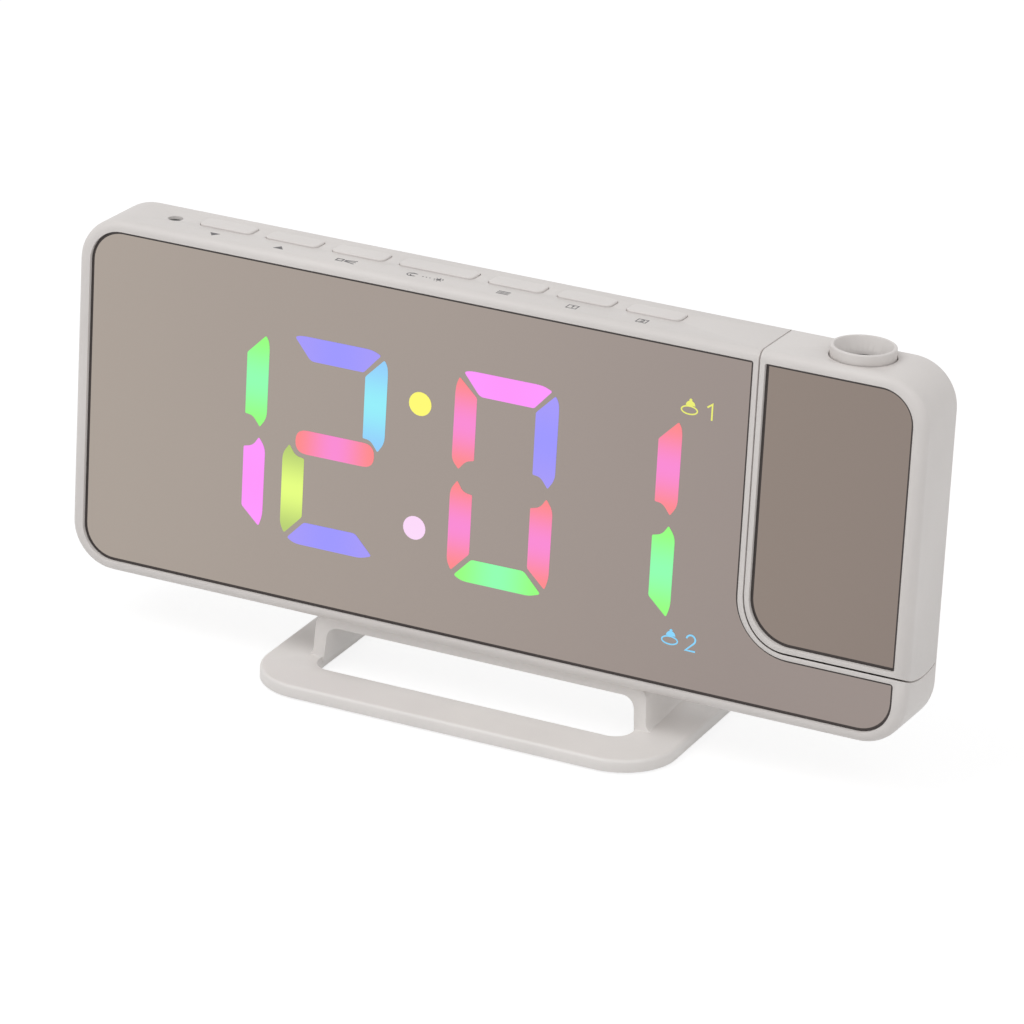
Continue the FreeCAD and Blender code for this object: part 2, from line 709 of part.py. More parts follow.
def main_mirror():
    piece = Moulding("mirror_panel")
    piece.pad(piece.sketch([mirror_outline("0")], lift=LEDGE_FRONT), "mirror_thick")
    return piece.done()


def module_mirror():
    piece = Moulding("projector_mirror")
    piece.pad(piece.sketch([module_mirror_outline("0")], lift=LEDGE_FRONT), "mirror_thick")
    return piece.done()


# Display: reflector, diffusers and light-emitting chips, from one set of cells

def segment_corners(middle, up, tall):
    """The eight corners of one segment: a bar with pointed ends, standing or lying."""
    half = number("segment_wide") / 2
    long = number("digit_height") / 4 if tall else number("digit_width") / 2 - half
    reach = long - number("segment_gap")
    points = [(-half * 0.75, reach - half * 0.9), (0, reach + half * 0.15), (half * 0.75, reach - half * 0.9),
              (half, reach - half * 1.3)]
    points += [(-x, -y) for x, y in points]
    if not tall:
        points = [(y, -x) for x, y in points]
    return [FreeCAD.Vector(middle + x, up + y, 0) for x, y in points]


def display_cells(shrink):
    """The plan faces of all the display's cells, each drawn in by shrink."""
    faces = []
    wide = number("digit_width") / 2 - number("segment_wide") / 2
    high = number("digit_height") / 2 - number("segment_wide") / 2
    for place in DIGIT_PLACES:
        middle = number(place)
        bars = [(middle, step * high, False) for step in (-1, 0, 1)]
        bars += [(middle + side * wide, step * number("digit_height") / 4, True)
                 for side in (-1, 1) for step in (-1, 1)]
        for across, up, tall in bars:
            points = segment_corners(across, up, tall)
            faces.append(Part.Face(Part.makePolygon(points + points[:1])))
    for step in (-1, 1):
        dot = Part.Circle(FreeCAD.Vector(number("colon_at"), step * number("colon_rise"), 0), Z_AXIS,
                          number("dot_radius"))
        faces.append(Part.Face(Part.Wire(dot.toShape())))
    side = number("icon_side")
    for step in (-1, 1):
        corner = FreeCAD.Vector(number("icon_at") - side / 2, step * number("icon_rise") - side / 2, 0)
        faces.append(Part.makePlane(side * 2.1, side, corner))
    if shrink:
        faces = [face.makeOffset2D(-shrink) for face in faces]
    return faces


def raised(faces, low, high):
    """Prisms over plan faces, from one height of the head to another."""
    return [face.translated(Z_AXIS * number(low)).extrude(Z_AXIS * (number(high) - number(low))) for face in faces]


def display_feature(label, solids):
    """A display part worked out from the cells, as one shape in the head."""
    piece = document.addObject("Part::Feature", label)
    piece.Shape = Part.makeCompound(solids) if len(solids) > 1 else solids[0]
    return finish(piece, label)


def display():
    front = f"{LEDGE_FRONT} - 0.1"
    notch = [f"panel_right - 9", "pivot_up - boss_radius - 2.4", REFLECTOR_BACK]
    plate = Part.makeBox(number("panel_right") - number("panel_left"), 2 * number("panel_high"), number("reflector_deep"),
                         FreeCAD.Vector(number("panel_left"), -number("panel_high"), number(REFLECTOR_BACK)))
    flange_low = FreeCAD.Vector(number("panel_left") - 3, -number("panel_high") - 1, number(REFLECTOR_BACK))
    flange = Part.makeBox(number("panel_right") - number("panel_left") + 4, 2 * number("panel_high") + 2,
                          number(f"{LEDGE_BACK} - {REFLECTOR_BACK}"), flange_low)
    room = 2 * number("boss_radius") + 4.8
    cut = Part.makeBox(20, room, 20, FreeCAD.Vector(number(notch[0]), number(notch[1]), number(notch[2]) - 5))
    cells = raised(display_cells(0), f"{REFLECTOR_BACK} - 1", f"{front} + 1")
    display_feature("display_reflector", plate.fuse(flange).cut(Part.makeCompound(cells)).cut(cut).removeSplitter().Solids)
    display_feature("segment_diffusers", raised(display_cells(0.05), f"{front} - diffuser_thick", front))
    board = block("display_board_blank", (f"panel_left - 3", f"-panel_high - 1", BOARD_BACK),
                  (f"panel_right + 1", f"panel_high + 1", REFLECTOR_BACK))
    relief = block("display_board_relief", (f"panel_right - 9", notch[1], f"{BOARD_BACK} - 1"),
                   (f"panel_right + 2", f"{notch[1]} + 2 * boss_radius + 4.8", f"{REFLECTOR_BACK} + 1"))
    finish(less("display_board", board, [relief]), "display_board")
    chips = []
    side = number("led_side")
    for face in display_cells(0):
        middle = face.CenterOfMass
        corner = FreeCAD.Vector(middle.x - side / 2, middle.y - side / 2, number(REFLECTOR_BACK))
        chips.append(Part.makeBox(side, side, number("led_high"), corner))
    display_feature("display_leds", chips)


# Keys and their switches

def key(label, middle, wide):
    """A cap through the top wall, a lip under the wall that stops it, and a stem to its switch."""
    piece = Moulding(label)
    cap = centred(middle, KEY_MIDDLE, wide, "key_deep", "key_corner - key_gap")
    lip = centred(middle, KEY_MIDDLE, f"({wide} + 2 * key_gap + 2 * key_lip)",
                  "(key_deep + 2 * key_gap + 2 * key_lip)", "key_corner")
    top = f"{HALF_HIGH} + key_proud"
    under = f"{UNDER_TOP} - press_gap"
    piece.pad(top_sketch(piece, [cap], [], top), f"{top} - ({under} - 0.2)")
    piece.rounded("0.35", lambda edge, middle: abs(middle.y - number(top)) < 0.01)
    piece.pad(top_sketch(piece, [lip], [], under), "key_lip + 0.2")
    stem = top_sketch(piece, [], [(middle, KEY_MIDDLE, "stem_radius")], f"{under} - key_lip")
    piece.pad(stem, f"{under} - key_lip - {STEM_END}")
    return piece.done()


def keys():
    bodies = []
    plungers = []
    for label, (middle, wide) in zip(KEYS, key_places()):
        key(label, middle, wide)
        half = "switch_side / 2"
        bodies.append(joined(label + "_switch", [
            block(label + "_switch_box", (f"{middle} - {half}", KEY_BOARD, f"{KEY_MIDDLE} - {half}"),
                  (f"{middle} + {half}", f"{KEY_BOARD} + switch_high", f"{KEY_MIDDLE} + {half}")),
            rod(label + "_plunger", "stem_radius", (middle, f"{KEY_BOARD} + switch_high - 0.2", KEY_MIDDLE),
                "plunger_high + 0.2", "y")]))
    finish(group("key_switches", bodies), "key_switches")
    left = "sensor_at - 3"
    right = f"{key_places()[-1][0]} + key_width / 2"
    finish(block("key_board", (left, f"{KEY_BOARD} - board_thick", "-15.6"), (right, KEY_BOARD, f"{LEDGE_BACK} - 0.4")),
           "key_board")
    finish(rod("light_sensor", "sensor_radius", ("sensor_at", KEY_BOARD, SENSOR_MIDDLE),
               f"{HALF_HIGH} - sensor_sunk - ({KEY_BOARD})", "y"), "light_sensor")


# Sockets, speaker, cell

def sockets():
    board_left = "inlet_at - 5.5"
    finish(block("socket_board", (board_left, IO_BOARD, f"{PART_LINE} + 2.2"),
                 ("usb_at + usb_wide / 2 + 3", f"{IO_BOARD} + board_thick", "-4.2")), "socket_board")
    top = f"({IO_BOARD} + board_thick)"
    back = "-case_back + socket_set"
    half = "usb_wide / 2"
    shell = block("usb_shell", (f"usb_at - {half}", top, back), (f"usb_at + {half}", f"{top} + usb_high", f"{back} + usb_deep"))
    mouth = block("usb_mouth", (f"usb_at - {half} + 0.35", f"{top} + 0.35", f"{back} - 1"),
                  (f"usb_at + {half} - 0.35", f"{top} + usb_high - 0.35", f"{back} + usb_deep - 3"))
    hollow = less("usb_hollow", shell, [mouth])
    tongue = block("usb_tongue", (f"usb_at - {half} + 1.2", f"{top} + usb_high - 2.6", f"{back} + 0.8"),
                   (f"usb_at + {half} - 1.2", f"{top} + usb_high - 0.8", f"{back} + usb_deep - 2.8"))
    finish(joined("usb_socket", [hollow, tongue]), "usb_socket")
    nose = rod("inlet_nose", "inlet_radius", ("inlet_at", INLET_MIDDLE, back), "inlet_deep", "z")
    base = block("inlet_base", ("inlet_at - 4", top, f"{PART_LINE} + 2"), ("inlet_at + 4", f"{top} + 6.1", f"{back} + inlet_deep"))
    hole = rod("inlet_hole", "inlet_bore", ("inlet_at", INLET_MIDDLE, f"{back} - 1"), "inlet_deep - 1", "z")
    pin = rod("inlet_pin_rod", "inlet_pin", ("inlet_at", INLET_MIDDLE, f"{back} + 1"), "inlet_deep - 2", "z")
    jack = less("inlet_open", joined("inlet_body", [nose, base]), [hole])
    finish(joined("power_inlet", [jack, pin]), "power_inlet")


def speaker():
    """Turned about its axis: magnet, basket, and the cone dished behind the grille."""
    radius = "speaker_radius"
    profile = [("0", "0.9", "0"), (f"{radius} * 0.4", "0.9", "0"), (f"{radius} - 1.6", "0.3", "0"), (f"{radius} - 1.4", "0", "0"),
               (radius, "0", "0"), (radius, "1.2", "0"), (f"{radius} * 0.55", "speaker_deep * 0.55", "0"),
               (f"{radius} * 0.55", "speaker_deep", "0"), ("0", "speaker_deep", "0")]
    piece = Moulding("speaker")
    # The sketch stands on the speaker's axis, which runs forward from the cover
    sketch = piece.sketch([profile], role="XZ_Plane", shift=("speaker_at", PART_LINE), lift="-speaker_up")
    piece.turned("Revolution", sketch, axis="V_Axis")
    return piece.done()


def coin_cell():
    start = ("cell_at", "cell_up", f"{CELL_BACK}")
    can = rod("cell_can", "cell_radius", start, "cell_thick - 0.5", "z")
    lid = rod("cell_lid", "cell_radius - 1.2", ("cell_at", "cell_up", f"{CELL_BACK} + cell_thick - 0.6"), "0.6", "z")
    finish(joined("coin_cell", [can, lid]), "coin_cell")
    floor = f"{PART_LINE} + {CELL_SEAT} - 1.2"
    strip = block("contact_strip", ("cell_at - 7", "cell_up - 2", f"{floor} - 0.3"), ("cell_at + 7", "cell_up + 2", floor))
    finish(strip, "battery_contact")


def battery_cap():
    """A round cap with a coin slot, a hub on the cell and two lugs behind the cover's flange."""
    piece = Moulding("battery_cap")
    back = "-case_back"
    disc = [("cell_at", "cell_up", "cap_radius - run_gap")]
    piece.pad(piece.sketch(circles=disc, lift=back), "cap_thick")
    piece.rounded("0.3", lambda edge, middle: abs(middle.z + number("case_back")) < 0.01)
    hub = [("cell_at", "cell_up", "cell_radius + 0.4")]
    piece.pad(piece.sketch(circles=hub, lift=f"{back} + cap_thick"), f"{CELL_BACK} - 0.1 + case_back - cap_thick")
    lugs = [centred("cell_at", "cell_up", "5", "(2 * cap_radius - 1.8)")]
    piece.pad(piece.sketch(lugs, lift=f"{PART_LINE} + 0.25"), "0.9")
    slot = centred("cell_at", "cell_up", "13", "1.9", "0.9")
    piece.pocket(piece.sketch([slot], lift=back), "1.1", ahead=True)
    return piece.done()


# Pivot

def pivot_parts():
    """Tube, bush, friction washer and retaining clip, turned about the pivot's axis."""
    shift = ("0", "pivot_up")
    flange_at = f"{MODULE_LEFT} + wall"
    tube = [("bay_left - wall - bush_flange - washer_thick - clip_thick - 2.5", "tube_bore", "0"),
            (f"{flange_at} + 1.4", "tube_bore", "0"), (f"{flange_at} + 1.4", "flange_radius", "0"),
            (f"{flange_at} + 0.02", "flange_radius", "0"), (f"{flange_at} + 0.02", "tube_radius", "0"),
            ("bay_left - wall - bush_flange - washer_thick - clip_thick - 2.5", "tube_radius", "0")]
    piece = Moulding("pivot_tube")
    piece.turned("Revolution", piece.sketch([tube], shift=shift, lift="-pivot_deep"))
    left = "bay_left - wall - bush_flange - washer_thick - clip_thick - 0.3"
    groove = rectangle(f"{left} - 0.05", "tube_radius - 0.7", f"{left} + clip_thick + 0.05", "tube_radius + 1")
    piece.turned("Groove", piece.sketch([groove], shift=shift, lift="-pivot_deep"))
    piece.done()
    inner = "tube_radius + run_gap"
    bush = [("bay_left - wall - bush_flange", inner, "0"), (f"bay_left - 0.02", inner, "0"),
            ("bay_left - 0.02", f"{inner} + bush_thick - 0.02", "0"),
            ("bay_left - wall - bush_flange", f"{inner} + bush_thick - 0.02", "0")]
    turned_piece("pivot_bush", bush, shift=shift, lift="-pivot_deep", axis="H_Axis").done()
    side = "bay_left - wall - bush_flange - 0.05"
    washer = [(f"{side} - washer_thick", inner, "0"), (side, inner, "0"), (f"{side} - 0.4", "flange_radius - 0.3", "0"),
              (f"{side} - washer_thick", "flange_radius - 0.3", "0")]
    turned_piece("friction_washer", washer, shift=shift, lift="-pivot_deep", axis="H_Axis").done()
    clip = rectangle(left, "tube_radius - 0.65", f"{left} + clip_thick", "tube_radius + 1.2")
    ring = turned_piece("retaining_clip", clip, shift=shift, lift="-pivot_deep", axis="H_Axis")
    mouth = centred("pivot_up - 6", "-pivot_deep", "12", "3.4")
    cut = ring.sketch([mouth], lift=f"{left} + clip_thick + 1", role="YZ_Plane")
    ring.pocket(cut, "clip_thick + 2")
    ring.done()


# Projector module

def module_block(piece):
    """The module's rounded block: its foot is turned about the pivot, to swing in the bay."""
    high = HALF_HIGH
    outline = [(MODULE_LEFT, f"-({high})", "0"), (HALF_WIDE, f"-({high})", "0"), (HALF_WIDE, high, "case_corner"),
               (MODULE_LEFT, high, "0")]
    piece.pad(piece.sketch([outline], lift="-case_back"), "case_back + rim_proud")
    left = number(MODULE_LEFT) + 0.01
    low = 0.01 - number(high)
    for size, at_end in (("rim_round", at_face), ("back_round", at_back)):
        piece.rounded(size, lambda edge, middle: at_end(edge, middle) and middle.x > left and middle.y > low)
    far = f"{HALF_WIDE} + 20"
    deep = f"{HALF_HIGH} * 2 + 20"
    outside = [(f"{MODULE_LEFT} - 4", f"-({deep})", "0"), (far, f"-({deep})", "0"), (far, f"-{MODULE_RADIUS}", "0"),
               (MODULE_LEFT, f"-{MODULE_RADIUS}", MODULE_CORNER), (MODULE_LEFT, "-2", "0"),
               (f"{MODULE_LEFT} - 4", "-2", "0")]
    piece.turned("Groove", piece.sketch([outside], lift="-pivot_deep", shift=("0", "pivot_up")), angle=180)


def projector_case():
    piece = Moulding("projector_case")
    module_block(piece)
    piece.pocket(piece.sketch([module_mirror_outline("mirror_gap")], lift="rim_proud + 1"), "rim_proud + 1 + mirror_thick")
    inside = [(f"{MODULE_LEFT} + wall", f"pivot_up - {MODULE_RADIUS} + 3.8", "bay_corner - 1"),
              (f"{HALF_WIDE} - wall", f"pivot_up - {MODULE_RADIUS} + 3.8", "1"),
              (f"{HALF_WIDE} - wall", UNDER_TOP, "case_corner - wall"), (f"{MODULE_LEFT} + wall", UNDER_TOP, "1")]
    piece.pocket(piece.sketch([inside], lift=LEDGE_BACK), f"{LEDGE_BACK} + case_back + 1")
    piece.pocket(piece.sketch([centred("0", "0", "case_width + 4", "case_height + 4")], lift=PART_LINE), "cover_thick + 2")
    posts = [(across, up, "post_radius") for across, up in MODULE_POSTS]
    piece.pad(piece.sketch(circles=posts, lift=LEDGE_BACK), f"{LEDGE_BACK} - {PART_LINE}", back=True)
    pilots = [(across, up, PILOT) for across, up in MODULE_POSTS]
    piece.pocket(piece.sketch(circles=pilots, lift=PART_LINE), "screw_long", ahead=True)
    # Stakes that carry the module's board
    piece.pad(piece.sketch(circles=[(across, up, "2.2") for across, up in STAKES], lift=LEDGE_BACK),
              f"{LEDGE_BACK} - {FLIP_BOARD} - board_thick", back=True)
    piece.pad(piece.sketch(circles=[(across, up, "1") for across, up in STAKES], lift=LEDGE_BACK),
              f"{LEDGE_BACK} - {FLIP_BOARD} + 0.8", back=True)
    piece.pocket(pivot_sketch(piece, "tube_radius + 0.02", f"{MODULE_LEFT} - 1"), "wall + 3", ahead=True)
    # The focus ring's seat, the hole for its neck, and the room for its lip behind the mirror
    for radius, height, depth in (("ring_radius + ring_gap", f"{HALF_HIGH} + 1", "ring_sunk + 1"),
                                  ("ring_neck + run_gap", f"{HALF_HIGH} + 1", "wall + 1.5"),
                                  ("ring_neck + ring_lip + ring_gap", UNDER_TOP, "ring_flange + 0.4")):
        hole = [("lens_at", "-pivot_deep", radius)]
        piece.pocket(top_sketch(piece, [], hole, height), depth, ahead=True)
    piece.done()


def projector_cover():
    piece = Moulding("projector_cover")
    module_block(piece)
    piece.pocket(piece.sketch([centred("0", "0", "case_width + 4", "case_height + 4")], lift="rim_proud + 1"),
                 f"rim_proud + 1 - {PART_LINE}")
    back = "-case_back - 1"
    holes = [(across, up, "screw_radius + 0.3") for across, up in MODULE_POSTS]
    flip = [("lens_at", "flip_up", "flip_radius + key_gap")]
    piece.pocket(piece.sketch(circles=holes + flip, lift=back), "cover_thick + 3", ahead=True)
    heads = [(across, up, "screw_head + 0.3") for across, up in MODULE_POSTS]
    piece.pocket(piece.sketch(circles=heads, lift=back), "screw_head_high + 1.05", ahead=True)
    piece.done()


def flip_parts():
    """Button on the projector's back that turns the picture over, its switch and board."""
    place = ("lens_at", "flip_up")
    piece = Moulding("flip_button")
    back = "-case_back - key_proud"
    piece.pad(piece.sketch(circles=[place + ("flip_radius",)], lift=back), f"key_proud + cover_thick + press_gap + 0.2")
    piece.rounded("0.4", lambda edge, middle: abs(middle.z - number(back)) < 0.01)
    lip = f"{PART_LINE} + press_gap"
    piece.pad(piece.sketch(circles=[place + ("flip_radius + key_gap + key_lip",)], lift=lip), "key_lip + 0.2")
    stem_end = f"({FLIP_BOARD} - switch_high - plunger_high - press_gap - key_travel)"
    piece.pad(piece.sketch(circles=[place + ("stem_radius",)], lift=lip), f"{stem_end} - ({lip})")
    piece.done()
    half = "switch_side / 2"
    base = block("flip_switch_box", (f"lens_at - {half}", f"flip_up - {half}", f"{FLIP_BOARD} - switch_high"),
                 (f"lens_at + {half}", f"flip_up + {half}", FLIP_BOARD))
    plunger = rod("flip_plunger", "stem_radius", place + (f"{FLIP_BOARD} - switch_high - plunger_high",),
                  "plunger_high + 0.2", "z")
    finish(joined("flip_switch", [base, plunger]), "flip_switch")
    board = block("projector_board_blank", ("lens_at - 13.6", "flip_up - 8.6", FLIP_BOARD),
                  ("lens_at + 14.2", "flip_up + 11.6", f"{FLIP_BOARD} + board_thick"))
    pins = [rod(f"stake_hole_{place}", "1.08", (across, up, f"{FLIP_BOARD} - 1"), "board_thick + 2", "z")
            for place, (across, up) in enumerate(STAKES)]
    finish(less("projector_board", board, pins), "projector_board")


def optics():
    """Focus ring, lens and its cell, and below them the slide, condenser and lamp in their tunnel."""
    shift = ("lens_at", "0")
    middle = "-pivot_deep"
    flange = f"{UNDER_TOP} - press_gap"
    seat = f"{HALF_HIGH} - ring_sunk + press_gap"
    ring = [("ring_bore", f"{flange} - ring_flange", "0"), ("ring_neck + ring_lip", f"{flange} - ring_flange", "0"),
            ("ring_neck + ring_lip", flange, "0"), ("ring_neck", flange, "0"), ("ring_neck", seat, "0"),
            ("ring_radius", seat, "0"), ("ring_radius", RING_TOP, "0.35"), ("ring_mouth", RING_TOP, "0.25"),
            ("ring_bore", f"{RING_TOP} - funnel_deep", "0")]
    turned_piece("focus_ring", ring, shift=shift, lift=middle).done()
    low = f"{OPTICS_TOP} - 3"
    outer = "ring_bore - run_gap"
    inner = "(ring_bore - run_gap - cell_wall)"
    high = f"{RING_TOP} - funnel_deep - 0.4"
    cell = [(inner, low, "0"), (outer, low, "0"), (outer, high, "0"), (inner, high, "0")]
    turned_piece("lens_cell", cell, shift=shift, lift=middle).done()
    lens = Moulding("projection_lens")
    flat = f"{high} - 3.2"
    profile = lens.sketch([[("0", flat, "0"), (f"{inner} - 0.02", flat, "0"), (f"{inner} - 0.02", f"{high} - 1.4", "0"),
                            (f"{inner} * 0.55", f"{high} - 0.6", "0"), ("0", f"{high} - 0.45", "0")]],
                          shift=shift, lift=middle)
    lens.turned("Revolution", profile, axis="V_Axis")
    lens.done()
    half_wide = "optics_wide / 2"
    half_deep = "optics_deep / 2"
    tunnel = block("tunnel_block", (f"lens_at - {half_wide}", OPTICS_FOOT, f"{middle} - {half_deep}"),
                   (f"lens_at + {half_wide}", OPTICS_TOP, f"{middle} + {half_deep}"))
    narrow = block("tunnel_low", (f"lens_at - {half_wide} + optics_wall + 1", f"{OPTICS_FOOT} - 1", f"{middle} - {half_deep} + optics_wall + 1"),
                   (f"lens_at + {half_wide} - optics_wall - 1", f"{OPTICS_TOP} - 15", f"{middle} + {half_deep} - optics_wall - 1"))
    broad = block("tunnel_high", (f"lens_at - {half_wide} + optics_wall", f"{OPTICS_TOP} - 16", f"{middle} - {half_deep} + optics_wall"),
                  (f"lens_at + {half_wide} - optics_wall", f"{OPTICS_TOP} - optics_wall", f"{middle} + {half_deep} - optics_wall"))
    eye = rod("tunnel_eye", "ring_bore", ("lens_at", f"{OPTICS_TOP} - 3", middle), "6", "y")
    finish(less("optics_tunnel", tunnel, [narrow, broad, eye]), "optics_tunnel")
    slide = block("lcd_slide", (f"lens_at - {half_wide} + optics_wall + 0.05", f"{OPTICS_TOP} - 16", f"{middle} - {half_deep} + optics_wall + 0.05"),
                  (f"lens_at + {half_wide} - optics_wall - 0.05", f"{OPTICS_TOP} - 14.9", f"{middle} + {half_deep} - optics_wall - 0.05"))
    finish(slide, "lcd_slide")
    reach = f"{half_deep} - optics_wall - 1.02"
    start = f"{OPTICS_FOOT} + 7"
    glass = [("0", start, "0"), (reach, start, "0"), (reach, f"{start} + 0.8", "0"), (f"({reach}) * 0.6", f"{start} + 2.6", "0"),
             ("0", f"{start} + 3.2", "0")]
    turned_piece("condenser_lens", glass, shift=shift, lift=middle).done()
    lamp_board = block("lamp_board", (f"lens_at - {half_wide}", f"{OPTICS_FOOT} - board_thick", f"{middle} - {half_deep}"),
                       (f"lens_at + {half_wide}", OPTICS_FOOT, f"{middle} + {half_deep}"))
    finish(lamp_board, "lamp_board")
    base = block("lamp_base", ("lens_at - 2.5", OPTICS_FOOT, f"{middle} - 2.5"), ("lens_at + 2.5", f"{OPTICS_FOOT} + 1.6", f"{middle} + 2.5"))
    dome = rod("lamp_dome", "1.5", ("lens_at", f"{OPTICS_FOOT} + 1.5", middle), "0.8", "y")
    finish(joined("projector_lamp", [base, dome]), "projector_lamp")


# Fasteners

def screw(label, across, up, back, reach):
    """A pan-head screw along the head's depth, its head at the back."""
    head = rod(label + "_head", "screw_head", (across, up, back), "screw_head_high", "z")
    shank = rod(label + "_shank", "screw_radius", (across, up, back), f"screw_head_high + {reach}", "z")
    slot = block(label + "_slot", (f"{across} - screw_head * 0.6", f"{up} - 0.3", f"{back} - 1"),
                 (f"{across} + screw_head * 0.6", f"{up} + 0.3", f"{back} + 0.5"))
    cross = block(label + "_cross", (f"{across} - 0.3", f"{up} - screw_head * 0.6", f"{back} - 1"),
                  (f"{across} + 0.3", f"{up} + screw_head * 0.6", f"{back} + 0.5"))
    return less(label, joined(label + "_blank", [head, shank]), [slot, cross])


def screws():
    for label, posts in (("rear_screws", REAR_POSTS), ("projector_screws", MODULE_POSTS)):
        items = [screw(f"{label}_{place}", across, up, "-case_back + 0.02", "screw_long - 1.5")
                 for place, (across, up) in enumerate(posts)]
        finish(group(label, items), label)
    items = []
    for place, across in enumerate(("-stand_screw_at", "stand_screw_at")):
        low = f"-{HALF_HIGH} - arch_wall"
        head = rod(f"stand_screw_head_{place}", "screw_head", (across, f"{low} - screw_head_high - 0.02", BOSS_DEPTH),
                   "screw_head_high", "y")
        shank = rod(f"stand_screw_shank_{place}", "screw_radius", (across, f"{low} - 0.3", BOSS_DEPTH),
                    "arch_wall + 7", "y")
        items.append(joined(f"stand_screw_{place}", [head, shank]))
    finish(group("stand_screws", items), "stand_screws")


# Stand

def stand():
    piece = Moulding("stand", in_head=False)
    plate = centred("0", "0", "plate_width", "plate_deep", "plate_corner")
    piece.pad(piece.sketch([plate], lift="foot_proud"), "plate_thick")
    top = "foot_proud + plate_thick"
    piece.rounded("0.8", lambda edge, middle: abs(middle.z - number(top)) < 0.01)
    front = "(-plate_deep / 2 + toe_width)"
    window = rectangle("-window_width / 2", front, "window_width / 2", f"-{front}", "window_corner")
    piece.pocket(piece.sketch([window], lift=f"{top} + 1"), "plate_thick + 2")
    # The arch stands square to the head, so its sketch leans back with it
    foot = f"(-({HEAD_HIGH} - foot_proud - plate_thick * 0.55) / cos(lean))"
    ground = f"(-({HEAD_HIGH} - foot_proud - plate_thick) / cos(lean))"
    low = f"({ARCH_TOP} - arch_wall)"
    half = "arch_inside / 2"
    outer = f"{half} + arch_splay + arch_wall"
    flare = f"{outer} + arch_foot_round + 0.5"
    arch = [(f"-({flare})", foot, "0"), (f"-({half}) - arch_splay", foot, "0"), (f"-({half})", low, "arch_round"),
            (half, low, "arch_round"), (f"{half} + arch_splay", foot, "0"), (flare, foot, "0"), (flare, ground, "0"),
            (outer, ground, "arch_foot_round"), (f"{half} + arch_wall", ARCH_TOP, "arch_round"),
            (f"-({half} + arch_wall)", ARCH_TOP, "arch_round"), (f"-({outer})", ground, "arch_foot_round"),
            (f"-({flare})", ground, "0")]
    outline = piece.sketch([arch], role="XZ_Plane", turn="-lean", shift=("0", f"{HEAD_HIGH} - arch_front * sin(lean)"),
                           lift=f"-{HEAD_BACK} - arch_front * cos(lean)")
    piece.pad(outline, "arch_deep", back=True)
    # The arch's back slopes from the bar down to the plate
    bar_end = f"({HEAD_BACK} - {BEHIND_FACE} + arch_front + bar_deep)"
    base_end = f"({bar_end} + arch_deep - bar_deep - 1)"
    slope = [(bar_end, f"head_lift + 4", "0"), (bar_end, f"head_lift - arch_wall - 1", "0"), (base_end, f"{top} + 0.4", "0"),
             (f"{base_end} + 12", f"{top} + 0.4", "0"), (f"{base_end} + 12", "head_lift + 4", "0")]
    piece.pocket(piece.sketch([slope], role="YZ_Plane", lift="-plate_width"), "3 * plate_width", ahead=True)
    # Holes for the two screws, and seats for the feet
    low_plane = f"{HEAD_HIGH} - {HALF_HIGH} * cos(lean) + 1"
    holes = [(place, "arch_front + bar_deep / 2", "screw_radius + 0.3") for place in ("-stand_screw_at", "stand_screw_at")]
    drill = piece.sketch(circles=holes, turn="-lean", shift=("0", f"{HEAD_BACK} - {BEHIND_FACE}"), lift=low_plane)
    piece.pocket(drill, "arch_wall + 3")
    seats = [(across, up, "foot_radius + 0.1") for across, up in foot_places()]
    piece.pocket(piece.sketch(circles=seats, lift="0"), "foot_proud + foot_sunk", ahead=True)
    piece.done()


def foot_places():
    across = "(plate_width / 2 - foot_radius - 3.4)"
    along = "(plate_deep / 2 - foot_radius - 3.8)"
    return [(f"{side}{across}", f"{end}{along}") for side in ("", "-") for end in ("", "-")]


def feet():
    discs = [rod(f"foot_{place}", "foot_radius", (across, up, "0"), "foot_proud + foot_sunk - 0.02", "z")
             for place, (across, up) in enumerate(foot_places())]
    finish(group("stand_feet", discs), "stand_feet", in_head=False)


front_frame()
frame_posts()
rear_cover()
main_mirror()
display()
keys()
sockets()
speaker()
coin_cell()
battery_cap()
pivot_parts()
projector_case()
projector_cover()
module_mirror()
flip_parts()
optics()
screws()
stand()
feet()
document.recompute()

# Nothing is written unless every object came out whole
failed = [item.Name for item in document.Objects if "Invalid" in item.State or "Error" in item.State]
failed += [node.Label for node in nodes if node.Shape.isNull() or not node.Shape.isValid()]
if failed:
    raise SystemExit("not built: " + ", ".join(failed))
os.makedirs("parts", exist_ok=True)
for node in nodes:
    node.Shape.exportStep(f"parts/{node.Label}.step")
print(len(nodes), "parts written")
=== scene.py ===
"""Looks of a mirror-faced alarm clock with a time projector, dressed over its solid model.

The head of the clock is described face on, in millimetres: across to the right, up, and
proud towards the viewer, from the middle of the mirror. HeadFrame stands it on the stand.
"""

import logging
import math
from dataclasses import dataclass, field
from enum import Enum

import bmesh
import bpy
from mathutils import Matrix, Vector
from mathutils.geometry import tessellate_polygon


